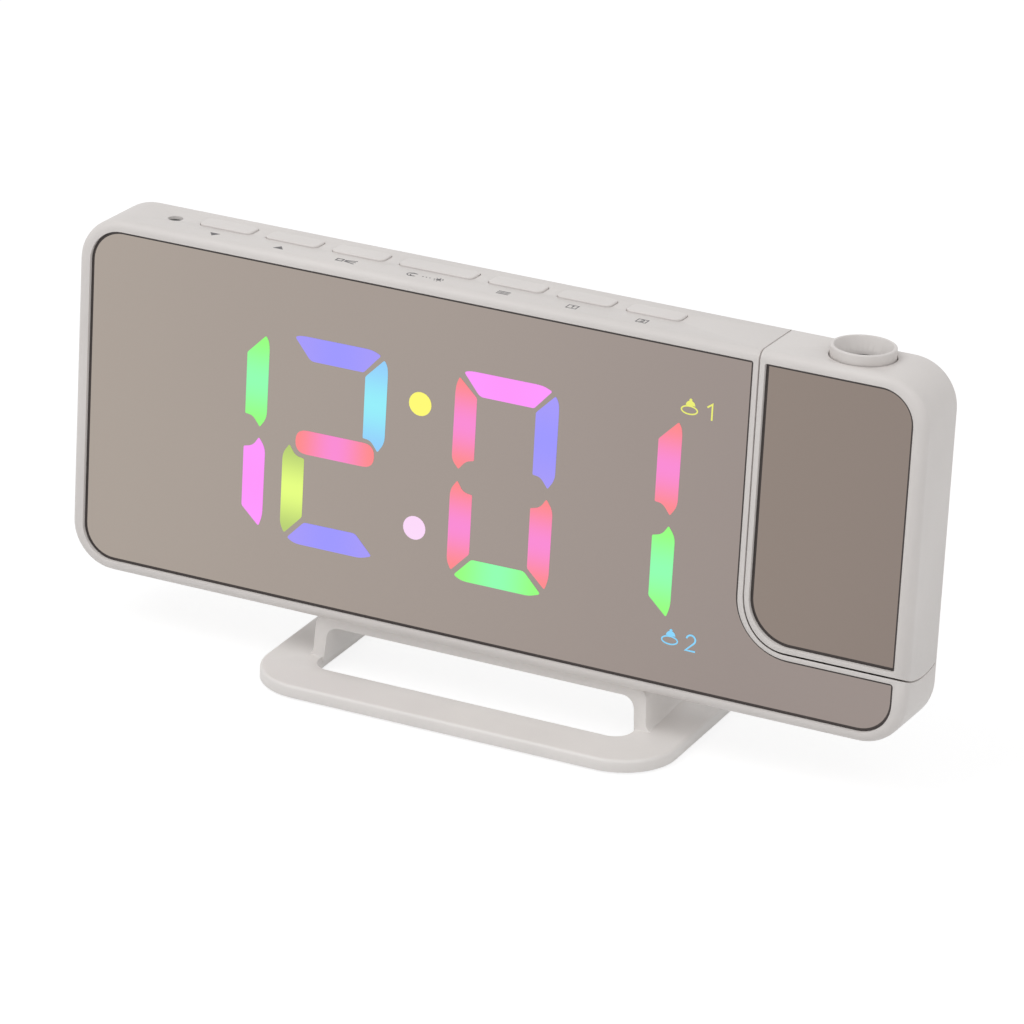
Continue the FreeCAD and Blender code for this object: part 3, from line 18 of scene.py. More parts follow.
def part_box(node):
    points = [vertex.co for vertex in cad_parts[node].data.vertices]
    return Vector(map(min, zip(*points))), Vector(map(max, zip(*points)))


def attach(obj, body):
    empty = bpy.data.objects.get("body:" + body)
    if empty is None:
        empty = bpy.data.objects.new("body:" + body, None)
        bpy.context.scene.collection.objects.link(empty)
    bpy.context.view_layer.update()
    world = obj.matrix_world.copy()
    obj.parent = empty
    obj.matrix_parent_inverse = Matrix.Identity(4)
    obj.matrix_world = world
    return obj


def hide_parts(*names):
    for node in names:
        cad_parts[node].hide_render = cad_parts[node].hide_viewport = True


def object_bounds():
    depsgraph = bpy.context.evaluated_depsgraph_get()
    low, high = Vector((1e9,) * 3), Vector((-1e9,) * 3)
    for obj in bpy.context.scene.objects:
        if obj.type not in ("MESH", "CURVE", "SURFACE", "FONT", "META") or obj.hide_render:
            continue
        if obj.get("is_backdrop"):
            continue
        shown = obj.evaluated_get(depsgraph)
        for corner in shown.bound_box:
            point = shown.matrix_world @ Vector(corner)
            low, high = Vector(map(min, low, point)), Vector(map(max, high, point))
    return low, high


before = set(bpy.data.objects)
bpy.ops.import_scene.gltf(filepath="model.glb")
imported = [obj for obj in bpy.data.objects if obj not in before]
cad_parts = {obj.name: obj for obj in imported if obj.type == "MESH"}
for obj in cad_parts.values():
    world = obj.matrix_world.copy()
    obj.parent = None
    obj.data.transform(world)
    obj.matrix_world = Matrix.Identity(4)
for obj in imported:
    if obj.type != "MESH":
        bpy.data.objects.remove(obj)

Point = tuple[float, float]
Triple = tuple[float, float, float]
Outline = list[Point]
Colour = Triple
Socket = bpy.types.NodeSocket
Material = bpy.types.Material

log = logging.getLogger("clock")
MM = 0.001
WELD = 0.002 * MM
FLAT = math.radians(0.4)
MIDDLING = (0.3, 0.7)


class Body(Enum):
    """The bodies that pieces ride on."""

    CASE = "case"
    PROJECTOR = "projector"
    FOCUS = "focus"
    FLIP = "flip_button"
    CAP = "battery_cap"


class Slot(Enum):
    """Names of finishes in the model's list."""

    SHELL = "shell_plastic"
    FILM = "mirror_film"
    LIGHT = "led"


@dataclass(frozen=True)
class HeadFrame:
    """Where the head stands: how far it leans back, and where its middle is."""

    lean: float = math.radians(2.4)
    depth: float = -11.8
    height: float = 57.412

    def place(self, across: float, up: float, proud: float) -> Vector:
        """A point of the head, in metres, in the frame's axes.

        Args:
            across: millimetres to the right of the mirror's middle.
            up: millimetres above it, along the face.
            proud: millimetres in front of the mirror's face.

        Returns:
            The point in metres.
        """
        sin, cos = math.sin(self.lean), math.cos(self.lean)
        deep = self.depth + up * sin - proud * cos
        return Vector((across, deep, self.height + up * cos + proud * sin)) * MM

    def turned(self, right: float, deep: float, high: float) -> Vector:
        """A direction of the face-on axes (right, into the head, up), in the frame's axes."""
        sin, cos = math.sin(self.lean), math.cos(self.lean)
        return Vector((right, deep * cos + high * sin, -deep * sin + high * cos))

    def matrix(self) -> Matrix:
        """The placement of the face-on axes (across, up, proud), in millimetres."""
        base = self.place(0, 0, 0)
        columns = [self.place(*axis) - base for axis in ((1, 0, 0), (0, 1, 0), (0, 0, 1))]
        rows = [[columns[c][r] for c in range(3)] + [base[r]] for r in range(3)]
        return Matrix(rows + [[0, 0, 0, 1]])


HEAD = HeadFrame()


class Way(Enum):
    """The face-on axis that the solids of a node point along."""

    UP = 1
    PROUD = 2

    def turn(self) -> Triple:
        """The turn, as Euler angles, of a piece that is drawn along +Z."""
        if self is Way.UP:
            return -HEAD.lean, 0.0, 0.0
        return HEAD.matrix().to_3x3().normalized().to_euler().x, 0.0, 0.0


# Node trees

class Wiring:
    """Builds a shader's node tree with short calls."""

    def __init__(self, name: str) -> None:
        """Starts a material of that name with a Principled shader."""
        self.material = bpy.data.materials.new(name)
        self.material.use_nodes = True
        self.tree = self.material.node_tree
        self.shader = self.tree.nodes["Principled BSDF"]

    def node(self, kind: str, **settings: object) -> bpy.types.Node:
        """Adds a node.

        Args:
            kind: the node's type, without its ShaderNode prefix.
            settings: attributes to set, or input names with their values.

        Returns:
            The node.
        """
        node = self.tree.nodes.new("ShaderNode" + kind)
        for key, setting in settings.items():
            if hasattr(node, key):
                setattr(node, key, setting)
            else:
                node.inputs[key.replace("_", " ")].default_value = setting
        return node

    def join(self, source: Socket, target: Socket) -> None:
        """Links two sockets."""
        self.tree.links.new(source, target)

    def feed(self, source: Socket, name: str) -> None:
        """Links a socket to one of the shader's own, by name."""
        self.join(source, self.shader.inputs[name])

    def across(self, source: Socket) -> Socket:
        """The first part of a vector."""
        split = self.node("SeparateXYZ")
        self.join(source, split.inputs["Vector"])
        return split.outputs["X"]

    def coordinates(self) -> Socket:
        """The piece's own coordinates."""
        return self.node("TexCoord").outputs["Object"]

    def noise(self, scale: float, detail: float = 3.0, stretch: Colour = (1, 1, 1)) -> Socket:
        """Noise over the piece's own coordinates.

        Args:
            scale: how many times the pattern repeats in a metre.
            detail: octaves of finer noise.
            stretch: how much denser it is along each axis.

        Returns:
            The factor socket.
        """
        mapping = self.node("Mapping", Scale=stretch)
        self.join(self.coordinates(), mapping.inputs["Vector"])
        noise = self.node("TexNoise", Scale=scale, Detail=detail)
        self.join(mapping.outputs["Vector"], noise.inputs["Vector"])
        return noise.outputs["Fac"]

    def spread(self, source: Socket, start: Point, stop: Point = (0.0, 1.0)) -> Socket:
        """Maps the range start of a value to the range stop."""
        ends = dict(From_Min=start[0], From_Max=start[1], To_Min=stop[0], To_Max=stop[1])
        node = self.node("MapRange", **ends)
        self.join(source, node.inputs["Value"])
        return node.outputs["Result"]

    def gloss(self, source: Socket, low: float, high: float) -> None:
        """Lets the shader's roughness follow a noise from low to high."""
        self.feed(self.spread(source, MIDDLING, (low, high)), "Roughness")

    def tint(self, source: Socket, colours: tuple[Colour, Colour], places: Point) -> None:
        """Colours the shader by a value, from the first place's colour to the second's."""
        ramp = self.node("ValToRGB")
        for element, place, colour in zip(ramp.color_ramp.elements, places, colours):
            element.position = place
            element.color = (*colour, 1)
        self.join(source, ramp.inputs["Fac"])
        self.feed(ramp.outputs["Color"], "Base Color")

    def bump(self, source: Socket, height: float) -> None:
        """Gives the shader a fine relief, height metres deep."""
        bump = self.node("Bump", Distance=height, Strength=1.0)
        self.join(source, bump.inputs["Height"])
        self.feed(bump.outputs["Normal"], "Normal")

    def set(self, **settings: object) -> None:
        """Sets the shader's own sockets, an underscore standing for a space."""
        for key, setting in settings.items():
            self.shader.inputs[key.replace("_", " ")].default_value = setting


def seen_straight(tree: bpy.types.NodeTree) -> Socket:
    """A factor that is 1 for what the camera sees directly, in a mirror or through glass."""
    path = tree.nodes.new("ShaderNodeLightPath")
    factor = path.outputs["Is Camera Ray"]
    for kind in ("Is Glossy Ray", "Is Transmission Ray"):
        larger = tree.nodes.new("ShaderNodeMath")
        larger.operation = "MAXIMUM"
        tree.links.new(factor, larger.inputs[0])
        tree.links.new(path.outputs[kind], larger.inputs[1])
        factor = larger.outputs[0]
    return factor


def shade(red: int, green: int, blue: int) -> Colour:
    """A screen colour, 0 to 255, as the linear colour that a shader takes."""
    def linear(channel: float) -> float:
        """One channel without the screen's curve."""
        part = channel / 255
        return part / 12.92 if part <= 0.04045 else ((part + 0.055) / 1.055) ** 2.4
    return linear(red), linear(green), linear(blue)


def scaled(colour: Colour, factor: float) -> Colour:
    """A colour times a factor, up to white."""
    return tuple(min(1.0, part * factor) for part in colour)


# Finishes

@dataclass(frozen=True)
class MouldedPlastic:
    """Injection-moulded plastic: a slight cloudiness and a fine spark-eroded grain."""

    name: str
    colour: Colour
    roughness: float = 0.42
    grain: float = 0.000012
    grain_scale: float = 2600.0
    cloud: float = 0.03
    cloud_scale: float = 38.0
    unevenness: float = 0.05
    scatter: float = 0.0
    scatter_reach: Colour = (0.002, 0.0018, 0.0016)

    def material(self) -> Material:
        """Builds the node tree."""
        wiring = Wiring(self.name)
        colours = scaled(self.colour, 1 - self.cloud), scaled(self.colour, 1 + self.cloud)
        wiring.tint(wiring.noise(self.cloud_scale), colours, MIDDLING)
        fine = wiring.noise(self.grain_scale, 2.0)
        wiring.gloss(fine, self.roughness - self.unevenness, self.roughness + self.unevenness)
        wiring.bump(fine, self.grain)
        if self.scatter:
            wiring.set(Subsurface_Weight=self.scatter, Subsurface_Radius=self.scatter_reach)
        return wiring.material


@dataclass(frozen=True)
class MirrorFilm:
    """Tinted, half-silvered acrylic: reflects softly, with a trace of orange peel; its colour carries
    painted shade, darker from left to right.
    """

    name: str
    left: Colour
    right: Colour
    reach: Point = (-0.1, 0.1)
    drift: float = 0.3
    places: Point = (0.15, 1.0)
    cloud_scale: float = 14.0
    gloss: Point = (0.05, 0.09)
    gloss_scale: float = 420.0
    peel: float = 0.000004
    peel_scale: float = 60.0

    def material(self) -> Material:
        """Builds the node tree: painted shade darkens the film's colour from left to right, standing in
        for the fall-off of its reflection, with a random cloudiness mixed in.
        """
        wiring = Wiring(self.name)
        # Painted shade: the colour runs across the piece from the left tint to the darker right tint.
        painted_shade_across = wiring.spread(wiring.across(wiring.coordinates()), self.reach)
        cloudy = wiring.node("Math", operation="MULTIPLY_ADD")
        cloudy.inputs[1].default_value = self.drift
        wiring.join(wiring.noise(self.cloud_scale, 2.0), cloudy.inputs[0])
        wiring.join(painted_shade_across, cloudy.inputs[2])
        wiring.tint(cloudy.outputs["Value"], (self.left, self.right), self.places)
        wiring.set(Metallic=1.0)
        wiring.gloss(wiring.noise(self.gloss_scale, 2.0), *self.gloss)
        wiring.bump(wiring.noise(self.peel_scale, 1.0), self.peel)
        return wiring.material


@dataclass(frozen=True)
class Glow:
    """Light that comes through the mirror: two colours from the piece's own attributes."""

    name: str
    strength: float = 1.0
    inputs: tuple[int, int] = (6, 7)
    result: int = 2

    def material(self) -> Material:
        """Builds the node tree: the middle colour fades to the end colour along the bar."""
        wiring = Wiring(self.name)
        off = wiring.node("Math", operation="SUBTRACT")
        off.inputs[1].default_value = 0.5
        wiring.join(wiring.across(wiring.node("UVMap", uv_map="along").outputs["UV"]), off.inputs[0])
        size = wiring.node("Math", operation="ABSOLUTE")
        wiring.join(off.outputs["Value"], size.inputs[0])
        fade = wiring.node("MapRange", interpolation_type="SMOOTHSTEP", From_Max=0.5)
        wiring.join(size.outputs["Value"], fade.inputs["Value"])
        mix = wiring.node("Mix", data_type="RGBA")
        wiring.join(fade.outputs["Result"], mix.inputs["Factor"])
        for name, place in zip(("glow_middle", "glow_end"), self.inputs):
            colour = wiring.node("Attribute", attribute_name=name)
            wiring.join(colour.outputs["Color"], mix.inputs[place])
        wiring.feed(mix.outputs[self.result], "Emission Color")
        wiring.set(Base_Color=(0.0, 0.0, 0.0, 1), Roughness=0.5, Specular_IOR_Level=0.1,
                   Emission_Strength=self.strength)
        return wiring.material


@dataclass(frozen=True)
class BrushedMetal:
    """Stamped and plated sheet or turned steel, with fine drawn lines."""

    name: str
    colour: Colour
    roughness: float = 0.3
    stretch: Colour = (1, 1, 14)
    line_scale: float = 900.0
    line_deep: float = 0.000006
    line_shade: float = 0.86
    shine: Point = (-0.08, 0.1)

    def material(self) -> Material:
        """Builds the node tree."""
        wiring = Wiring(self.name)
        lines = wiring.noise(self.line_scale, 4.0, self.stretch)
        wiring.tint(lines, (scaled(self.colour, self.line_shade), self.colour), MIDDLING)
        wiring.gloss(lines, self.roughness + self.shine[0], self.roughness + self.shine[1])
        wiring.bump(lines, self.line_deep)
        wiring.set(Metallic=1.0)
        return wiring.material


@dataclass(frozen=True)
class SolderMask:
    """A circuit board's lacquer over its tracks."""

    name: str
    colour: Colour
    track: Colour
    track_deep: float = 0.00002
    track_wide: float = 0.03
    tracks: float = 160.0
    pale: float = 1.25
    roughness: float = 0.3

    def material(self) -> Material:
        """Builds the node tree: straight tracks show through the lacquer as paler lines."""
        wiring = Wiring(self.name)
        colours = self.colour, scaled(self.colour, self.pale), self.track
        brick = wiring.node("TexBrick", Scale=self.tracks, Mortar_Size=self.track_wide)
        for name, colour in zip(("Color1", "Color2", "Mortar"), colours):
            brick.inputs[name].default_value = (*colour, 1)
        wiring.join(wiring.coordinates(), brick.inputs["Vector"])
        wiring.feed(brick.outputs["Color"], "Base Color")
        wiring.bump(brick.outputs["Fac"], self.track_deep)
        wiring.set(Roughness=self.roughness)
        return wiring.material


@dataclass(frozen=True)
class ClearLens:
    """Clear moulded optics with the faintest ripple."""

    name: str
    colour: Colour = (0.94, 0.96, 0.97)
    ripple_deep: float = 0.000002
    ripple_scale: float = 300.0
    ripple_shade: float = 0.97
    roughness: float = 0.03
    refraction: float = 1.49
    clear: float = 0.9

    def material(self) -> Material:
        """Builds the node tree."""
        wiring = Wiring(self.name)
        ripple = wiring.noise(self.ripple_scale, 1.0)
        wiring.tint(ripple, (scaled(self.colour, self.ripple_shade), self.colour), MIDDLING)
        wiring.bump(ripple, self.ripple_deep)
        wiring.set(Roughness=self.roughness, IOR=self.refraction, Transmission_Weight=self.clear)
        return wiring.material


class Finishes:
    """Every finish of the clock, built once."""

    def __init__(self) -> None:
        """Builds the materials."""
        def moulded(name: str, screen: tuple[int, int, int], *more: float, **named: float) -> Material:
            """The material of a moulded plastic, given its colour on a screen."""
            return MouldedPlastic(name, shade(*screen), *more, **named).material()

        # Painted shade: each mirror film runs from a lighter left colour to a darker right colour.
        small_mirror = shade(143, 131, 123), shade(139, 127, 120), (0.06, 0.11)
        self.shell = moulded("shell_satin", (221, 216, 213), 0.45)
        self.key = moulded("key_satin", (223, 218, 215), 0.4)
        # The stand's colour is lighter than the shell's: partly a lighter plastic, partly painted light
        # that makes up for the head's shadow on the plate.
        self.stand = moulded("stand_satin_lightened", (236, 232, 229), 0.45)
        self.film = MirrorFilm("mirror_film", shade(168, 158, 149), shade(153, 142, 137)).material()
        self.small_film = MirrorFilm("projector_mirror_film", *small_mirror).material()
        # Painted shade: the dark line along each mirror's edge stands in for the rim's shadowed inner
        # wall seen in the mirror.
        self.edge = moulded("mirror_edge_shade_paint", (58, 50, 48), 0.5, cloud=0.12)
        self.glow = Glow("display_light").material()
        self.ink = moulded("key_print", (92, 90, 92), 0.5, 0.000004, cloud=0.08)
        self.white = moulded("white_plastic", (236, 236, 233), 0.35, scatter=0.1)
        self.milky = moulded("milky_diffuser", (228, 232, 232), 0.5, 0.00002, scatter=0.3)
        self.black = moulded("black_plastic", (34, 34, 36), 0.4, cloud=0.15)
        self.rubber = moulded("foot_rubber", (196, 192, 188), 0.75, 0.00003, 1400.0, 0.06)
        self.steel = BrushedMetal("plated_steel", shade(196, 196, 197)).material()
        self.cell = BrushedMetal("cell_steel", shade(205, 205, 204), 0.22, (1, 1, 1)).material()
        self.basket = moulded("speaker_basket", (52, 52, 55), 0.5, 0.00004, 900.0, 0.15)
        self.board = SolderMask("board_lacquer", shade(28, 82, 54), shade(60, 124, 88)).material()
        self.resin = moulded("led_resin", (240, 232, 190), 0.2, 0.000002, scatter=0.2)
        self.lens = ClearLens("clear_lens").material()
        self.slide = ClearLens("slide_glass", (0.55, 0.6, 0.62)).material()


# Mesh work

@dataclass
class Shape:
    """Corners and faces of a piece that is being drawn, with what its faces carry."""

    points: list[Vector] = field(default_factory=list)
    faces: list[list[int]] = field(default_factory=list)
    marks: list[dict] = field(default_factory=list)

    def prism(self, outline: Outline, low: float, high: float, mark: dict) -> None:
        """Adds a flat plate with the outline, from one height above the mirror to another.

        Args:
            outline: corners (across, up), anticlockwise, in millimetres.
            low: where the plate starts, proud of the mirror's face.
            high: where it ends.
            mark: what its faces carry, such as its colours.
        """
        first = len(self.points)
        total = len(outline)
        for proud in (low, high):
            self.points += [HEAD.place(across, up, proud) for across, up in outline]
        flat = [Vector((across, up, 0)) for across, up in outline]
        for a, b, c in tessellate_polygon([flat]):
            if (flat[b] - flat[a]).cross(flat[c] - flat[a]).z < 0:
                b, c = c, b
            self.add([first + total + a, first + total + b, first + total + c], mark)
            self.add([first + a, first + c, first + b], mark)
        self.walls(first, first + total, total, mark)

    def walls(self, low: int, high: int, total: int, mark: dict | None = None) -> None:
        """Joins the two rings of corners that start at low and at high."""
        for place in range(total):
            after = (place + 1) % total
            self.add([low + place, low + after, high + after, high + place], mark)

    def add(self, face: list[int], mark: dict | None = None) -> None:
        """Adds one face and what it carries."""
        self.faces.append(face)
        self.marks.append(mark or {})

    def piece(self, name: str, body: Body, slot: Slot, *materials: Material) -> bpy.types.Object:
        """Makes the mesh object, which rides on a body.

        Args:
            name: the piece's name.
            body: the body it moves with.
            slot: not used.
            materials: its materials, in order.

        Returns:
            The object.
        """
        mesh = bpy.data.meshes.new(name)
        mesh.from_pydata([tuple(p) for p in self.points], [], self.faces)
        mesh.update()
        item = Piece.of_mesh(mesh, name, body, *materials)
        return item


class Piece:
    """Ways to finish an object of the scene."""

    @staticmethod
    def of_mesh(mesh: bpy.types.Mesh, name: str, body: Body | str,
                *materials: Material) -> bpy.types.Object:
        """Makes an object of a finished mesh and lets it ride on a body.

        Args:
            mesh: the mesh, in place.
            name: the piece's name.
            body: the body it moves with.
            materials: its materials, in order.

        Returns:
            The object.
        """
        mesh.materials.clear()
        for material in materials:
            mesh.materials.append(material)
        item = bpy.data.objects.new(name, mesh)
        bpy.context.scene.collection.objects.link(item)
        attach(item, body.value if isinstance(body, Body) else body)
        log.info("%s: %d faces", name, len(mesh.polygons))
        return item

    @staticmethod
    def softened(node: str, name: str, body: Body | str, material: Material,
                 edge: float = 0.12, angle: float = 38.0) -> bpy.types.Object:
        """A finer copy of a solid, with its sharp edges eased as a moulding tool leaves them.

        Args:
            node: the solid that the piece stands for.
            name: the piece's name.
            body: the body it moves with.
            material: its finish.
            edge: width of the eased edge, in millimetres.
            angle: the least fold, in degrees, that counts as an edge.

        Returns:
            The object.
        """
        work = solid_of(node)
        mesh = bpy.data.meshes.new(name)
        work.to_mesh(mesh)
        work.free()
        mesh.polygons.foreach_set("use_smooth", [True] * len(mesh.polygons))
        if edge:
            mesh = Piece.bevelled(mesh, name, edge, angle)
        mesh.set_sharp_from_angle(angle=math.radians(angle))
        item = Piece.of_mesh(mesh, name, body, material)
        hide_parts(node)
        return item

    @staticmethod
    def bevelled(mesh: bpy.types.Mesh, name: str, edge: float, angle: float) -> bpy.types.Mesh:
        """The mesh with its folds over angle eased to edge millimetres."""
        holder = bpy.data.objects.new(name + "_raw", mesh)
        bpy.context.scene.collection.objects.link(holder)
        bevel = holder.modifiers.new("ease", "BEVEL")
        bevel.width = edge * MM
        bevel.segments = 2
        bevel.limit_method = "ANGLE"
        bevel.angle_limit = math.radians(angle)
        bevel.use_clamp_overlap = True
        bevel.harden_normals = True
        result = plain_mesh(holder)
        bpy.data.objects.remove(holder)
        bpy.data.meshes.remove(mesh)
        result.name = name
        return result

    @staticmethod
    def outward(item: bpy.types.Object) -> None:
        """Turns every face of a closed shell outwards."""
        work = bmesh.new()
        work.from_mesh(item.data)
        bmesh.ops.remove_doubles(work, verts=work.verts, dist=WELD / 20)
        bmesh.ops.recalc_face_normals(work, faces=work.faces)
        work.to_mesh(item.data)
        work.free()

    @staticmethod
    def dress(material: Material, *nodes: str) -> None:
        """Gives solids that stay as they are a finish."""
        for node in nodes:
            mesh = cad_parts[node].data
            mesh.materials.clear()
            mesh.materials.append(material)


def plain_mesh(item: bpy.types.Object) -> bpy.types.Mesh:
    """The object's mesh with its modifiers worked in."""
    return bpy.data.meshes.new_from_object(item.evaluated_get(bpy.context.evaluated_depsgraph_get()))


def solid_of(node: str, joined: bool = True) -> bmesh.types.BMesh:
    """A node's mesh, welded, and with its flat stretches joined where that is asked for."""
    work = bmesh.new()
    work.from_mesh(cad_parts[node].data)
    bmesh.ops.remove_doubles(work, verts=work.verts, dist=WELD)
    if joined:
        bmesh.ops.dissolve_limit(work, angle_limit=FLAT, verts=work.verts, edges=work.edges)
    return work


def solids_in(node: str) -> list[tuple[Vector, Vector]]:
    """The lowest and highest corner of each solid in a node, face on and in millimetres."""
    back = HEAD.matrix().inverted()
    work = solid_of(node, joined=False)
    seen: set[bmesh.types.BMVert] = set()
    boxes = []
    for start in work.verts:
        if start in seen:
            continue
        stack, found = [start], []
        seen.add(start)
        while stack:
            vert = stack.pop()
            found.append(back @ vert.co)
            near = [edge.other_vert(vert) for edge in vert.link_edges]
            fresh = [other for other in near if other not in seen]
            seen.update(fresh)
            stack += fresh
        boxes.append(tuple(Vector([end(p[i] for p in found) for i in range(3)]) for end in (min, max)))
    work.free()
    return boxes


def ends_of(node: str, way: Way, sunk: float) -> list[Vector]:
    """The middle of each solid's near end, in a node whose solids point along way.

    Args:
        node: the node.
        way: the axis that its solids point along.
        sunk: how far beyond the end the middle is taken, in millimetres.

    Returns:
        The points in metres, in the frame's axes.
    """
    points = []
    for low, high in solids_in(node):
        middle = [(a + b) / 2 for a, b in zip(low, high)]
        middle[way.value] = low[way.value] + sunk
        points.append(HEAD.matrix() @ Vector(middle))
    return points


# Outlines

def eased(corners: list[Triple], steps: int = 5, share: float = 0.48) -> Outline:
    """A polygon whose corners are rounded by a curve that starts a given way before each.

    Args:
        corners: (across, up, ease), the ease in millimetres.
        steps: how many sides each corner has.
        share: the most of a side that a curve may take.

    Returns:
        The outline's corners.
    """
    outline = []
    total = len(corners)
    for place, (across, up, ease) in enumerate(corners):
        here = Vector((across, up))
        back, ahead = (Vector(corners[p % total][:2]) - here for p in (place - 1, place + 1))
        start = here + back.normalized() * min(ease, back.length * share)
        stop = here + ahead.normalized() * min(ease, ahead.length * share)
        for step in range(steps + 1):
            part = step / steps
            point = start * (1 - part) ** 2 + here * (2 * part * (1 - part)) + stop * part ** 2
            outline.append((point.x, point.y))
    return outline


def anticlockwise(points: Outline) -> Outline:
    """The outline, turned round where it runs clockwise."""
    area = sum(a[0] * b[1] - b[0] * a[1] for a, b in zip(points, points[1:] + points[:1]))
    return points if area > 0 else points[::-1]


def shifted(outline: Outline, across: float, up: float) -> Outline:
    """The outline moved across and up."""
    return [(across + x, up + y) for x, y in outline]


def ribbon(path: Outline, width: float, closed: bool = False, least: float = 0.5) -> list[Outline]:
    """Quadrilaterals that follow a path, joined at its corners.

    Args:
        path: points (across, up), in millimetres.
        width: the stroke's width.
        closed: whether the path returns to its start.
        least: the smallest cosine of a bend up to which the stroke keeps its width.

    Returns:
        One quadrilateral for each stretch.
    """
    points = [Vector(p) for p in path]
    total = len(points)
    sides = []
    for place, here in enumerate(points):
        before = points[place - 1] if closed or place else here
        after = points[(place + 1) % total] if closed or place < total - 1 else here
        along = ((here - before).normalized() + (after - here).normalized()).normalized()
        across = Vector((-along.y, along.x)) * width / 2
        bend = (here - before).normalized().dot(along) if before != here else 1.0
        across /= max(least, bend)
        sides.append((here - across, here + across))
    quads = []
    for place in range(total if closed else total - 1):
        (a, b), (c, d) = sides[place], sides[(place + 1) % total]
        quads.append([tuple(a), tuple(c), tuple(d), tuple(b)])
    return quads


def arc(across: float, up: float, radius: float, start: float, stop: float, steps: int) -> Outline:
    """Points on an arc about (across, up), its angles in degrees."""
    turns = [math.radians(start + (stop - start) * step / steps) for step in range(steps + 1)]
    return [(across + radius * math.cos(turn), up + radius * math.sin(turn)) for turn in turns]


# Sub-assemblies

@dataclass
class Assembly:
    """A part of the clock that dresses its solids and adds its own pieces."""

    finishes: Finishes

    def build(self) -> None:
        """Dresses the solids and adds the pieces."""
        raise NotImplementedError


@dataclass
class Casing(Assembly):
    """The head's shell, and what sits in it without moving."""

    def build(self) -> None:
        """Dresses the shell."""
        Piece.softened("front_frame", "front_frame_shell", Body.CASE, self.finishes.shell, 0.14)
        Piece.softened("rear_cover", "rear_cover_shell", Body.CASE, self.finishes.shell, 0.1)
        Piece.softened("battery_cap", "battery_cap_disc", Body.CAP, self.finishes.shell, 0.1)
        Piece.dress(self.finishes.shell, "frame_posts")
        Piece.dress(self.finishes.steel, "battery_contact", "usb_socket")
        Piece.dress(self.finishes.cell, "coin_cell")
        Piece.dress(self.finishes.black, "power_inlet", "light_sensor")
        Piece.dress(self.finishes.basket, "speaker")
        Piece.dress(self.finishes.board, "display_board", "key_board", "socket_board")


@dataclass
class MirrorFace(Assembly):
    """The two mirrors, which read as one face, with a dark line of painted shade around each."""

    line: float = 0.6
    rise: float = 0.03
    least: float = 0.35

    def build(self) -> None:
        """Dresses the mirrors and adds the dark lines of painted shade along their edges."""
        film, small_film = self.finishes.film, self.finishes.small_film
        Piece.softened("mirror_panel", "mirror_face", Body.CASE, film, 0.0)
        Piece.softened("projector_mirror", "projector_mirror_face", Body.PROJECTOR, small_film, 0.0)
        self.paint_edge_shade("mirror_panel", "mirror_edge_painted_shade", Body.CASE)
        self.paint_edge_shade("projector_mirror", "projector_mirror_edge_painted_shade", Body.PROJECTOR)

    def paint_edge_shade(self, node: str, name: str, body: Body) -> None:
        """A dark line of painted shade along a mirror's edge, for the rim's shadowed inner wall seen in
        the mirror; it follows the mirror's own outline.

        Args:
            node: the mirror's solid.
            name: the line's name.
            body: the body it moves with.
        """
        outline = self.outline(node)
        inner = self.drawn_in(outline, self.line)
        total = len(outline)
        shape = Shape()
        for proud in (self.rise, -self.rise):
            for ring in (outline, inner):
                shape.points += [HEAD.place(x, y, proud) for x, y in ring]
        for low, high in ((0, 1), (3, 2), (2, 0), (1, 3)):
            shape.walls(low * total, high * total, total)
        Piece.outward(shape.piece(name, body, Slot.FILM, self.finishes.edge))

    def outline(self, node: str) -> Outline:
        """The outline of a mirror's front, read from its solid, anticlockwise."""
        back = HEAD.matrix().inverted()
        work = solid_of(node)
        front = max(work.faces, key=lambda face: ((back @ face.calc_center_median()).z, face.calc_area()))
        outline = [back @ loop.vert.co for loop in front.loops]
        work.free()
        return anticlockwise([(p.x, p.y) for p in outline])

    def drawn_in(self, outline: Outline, width: float) -> Outline:
        """The outline moved inwards by width."""
        inner = []
        total = len(outline)
        for place in range(total):
            here = Vector(outline[place])
            back = (here - Vector(outline[place - 1])).normalized()
            ahead = (Vector(outline[(place + 1) % total]) - here).normalized()
            normal = Vector((-(back.y + ahead.y), back.x + ahead.x)).normalized()
            reach = width / max(self.least, normal.dot(Vector((-back.y, back.x))))
            inner.append(tuple(here + normal * reach))
        return inner


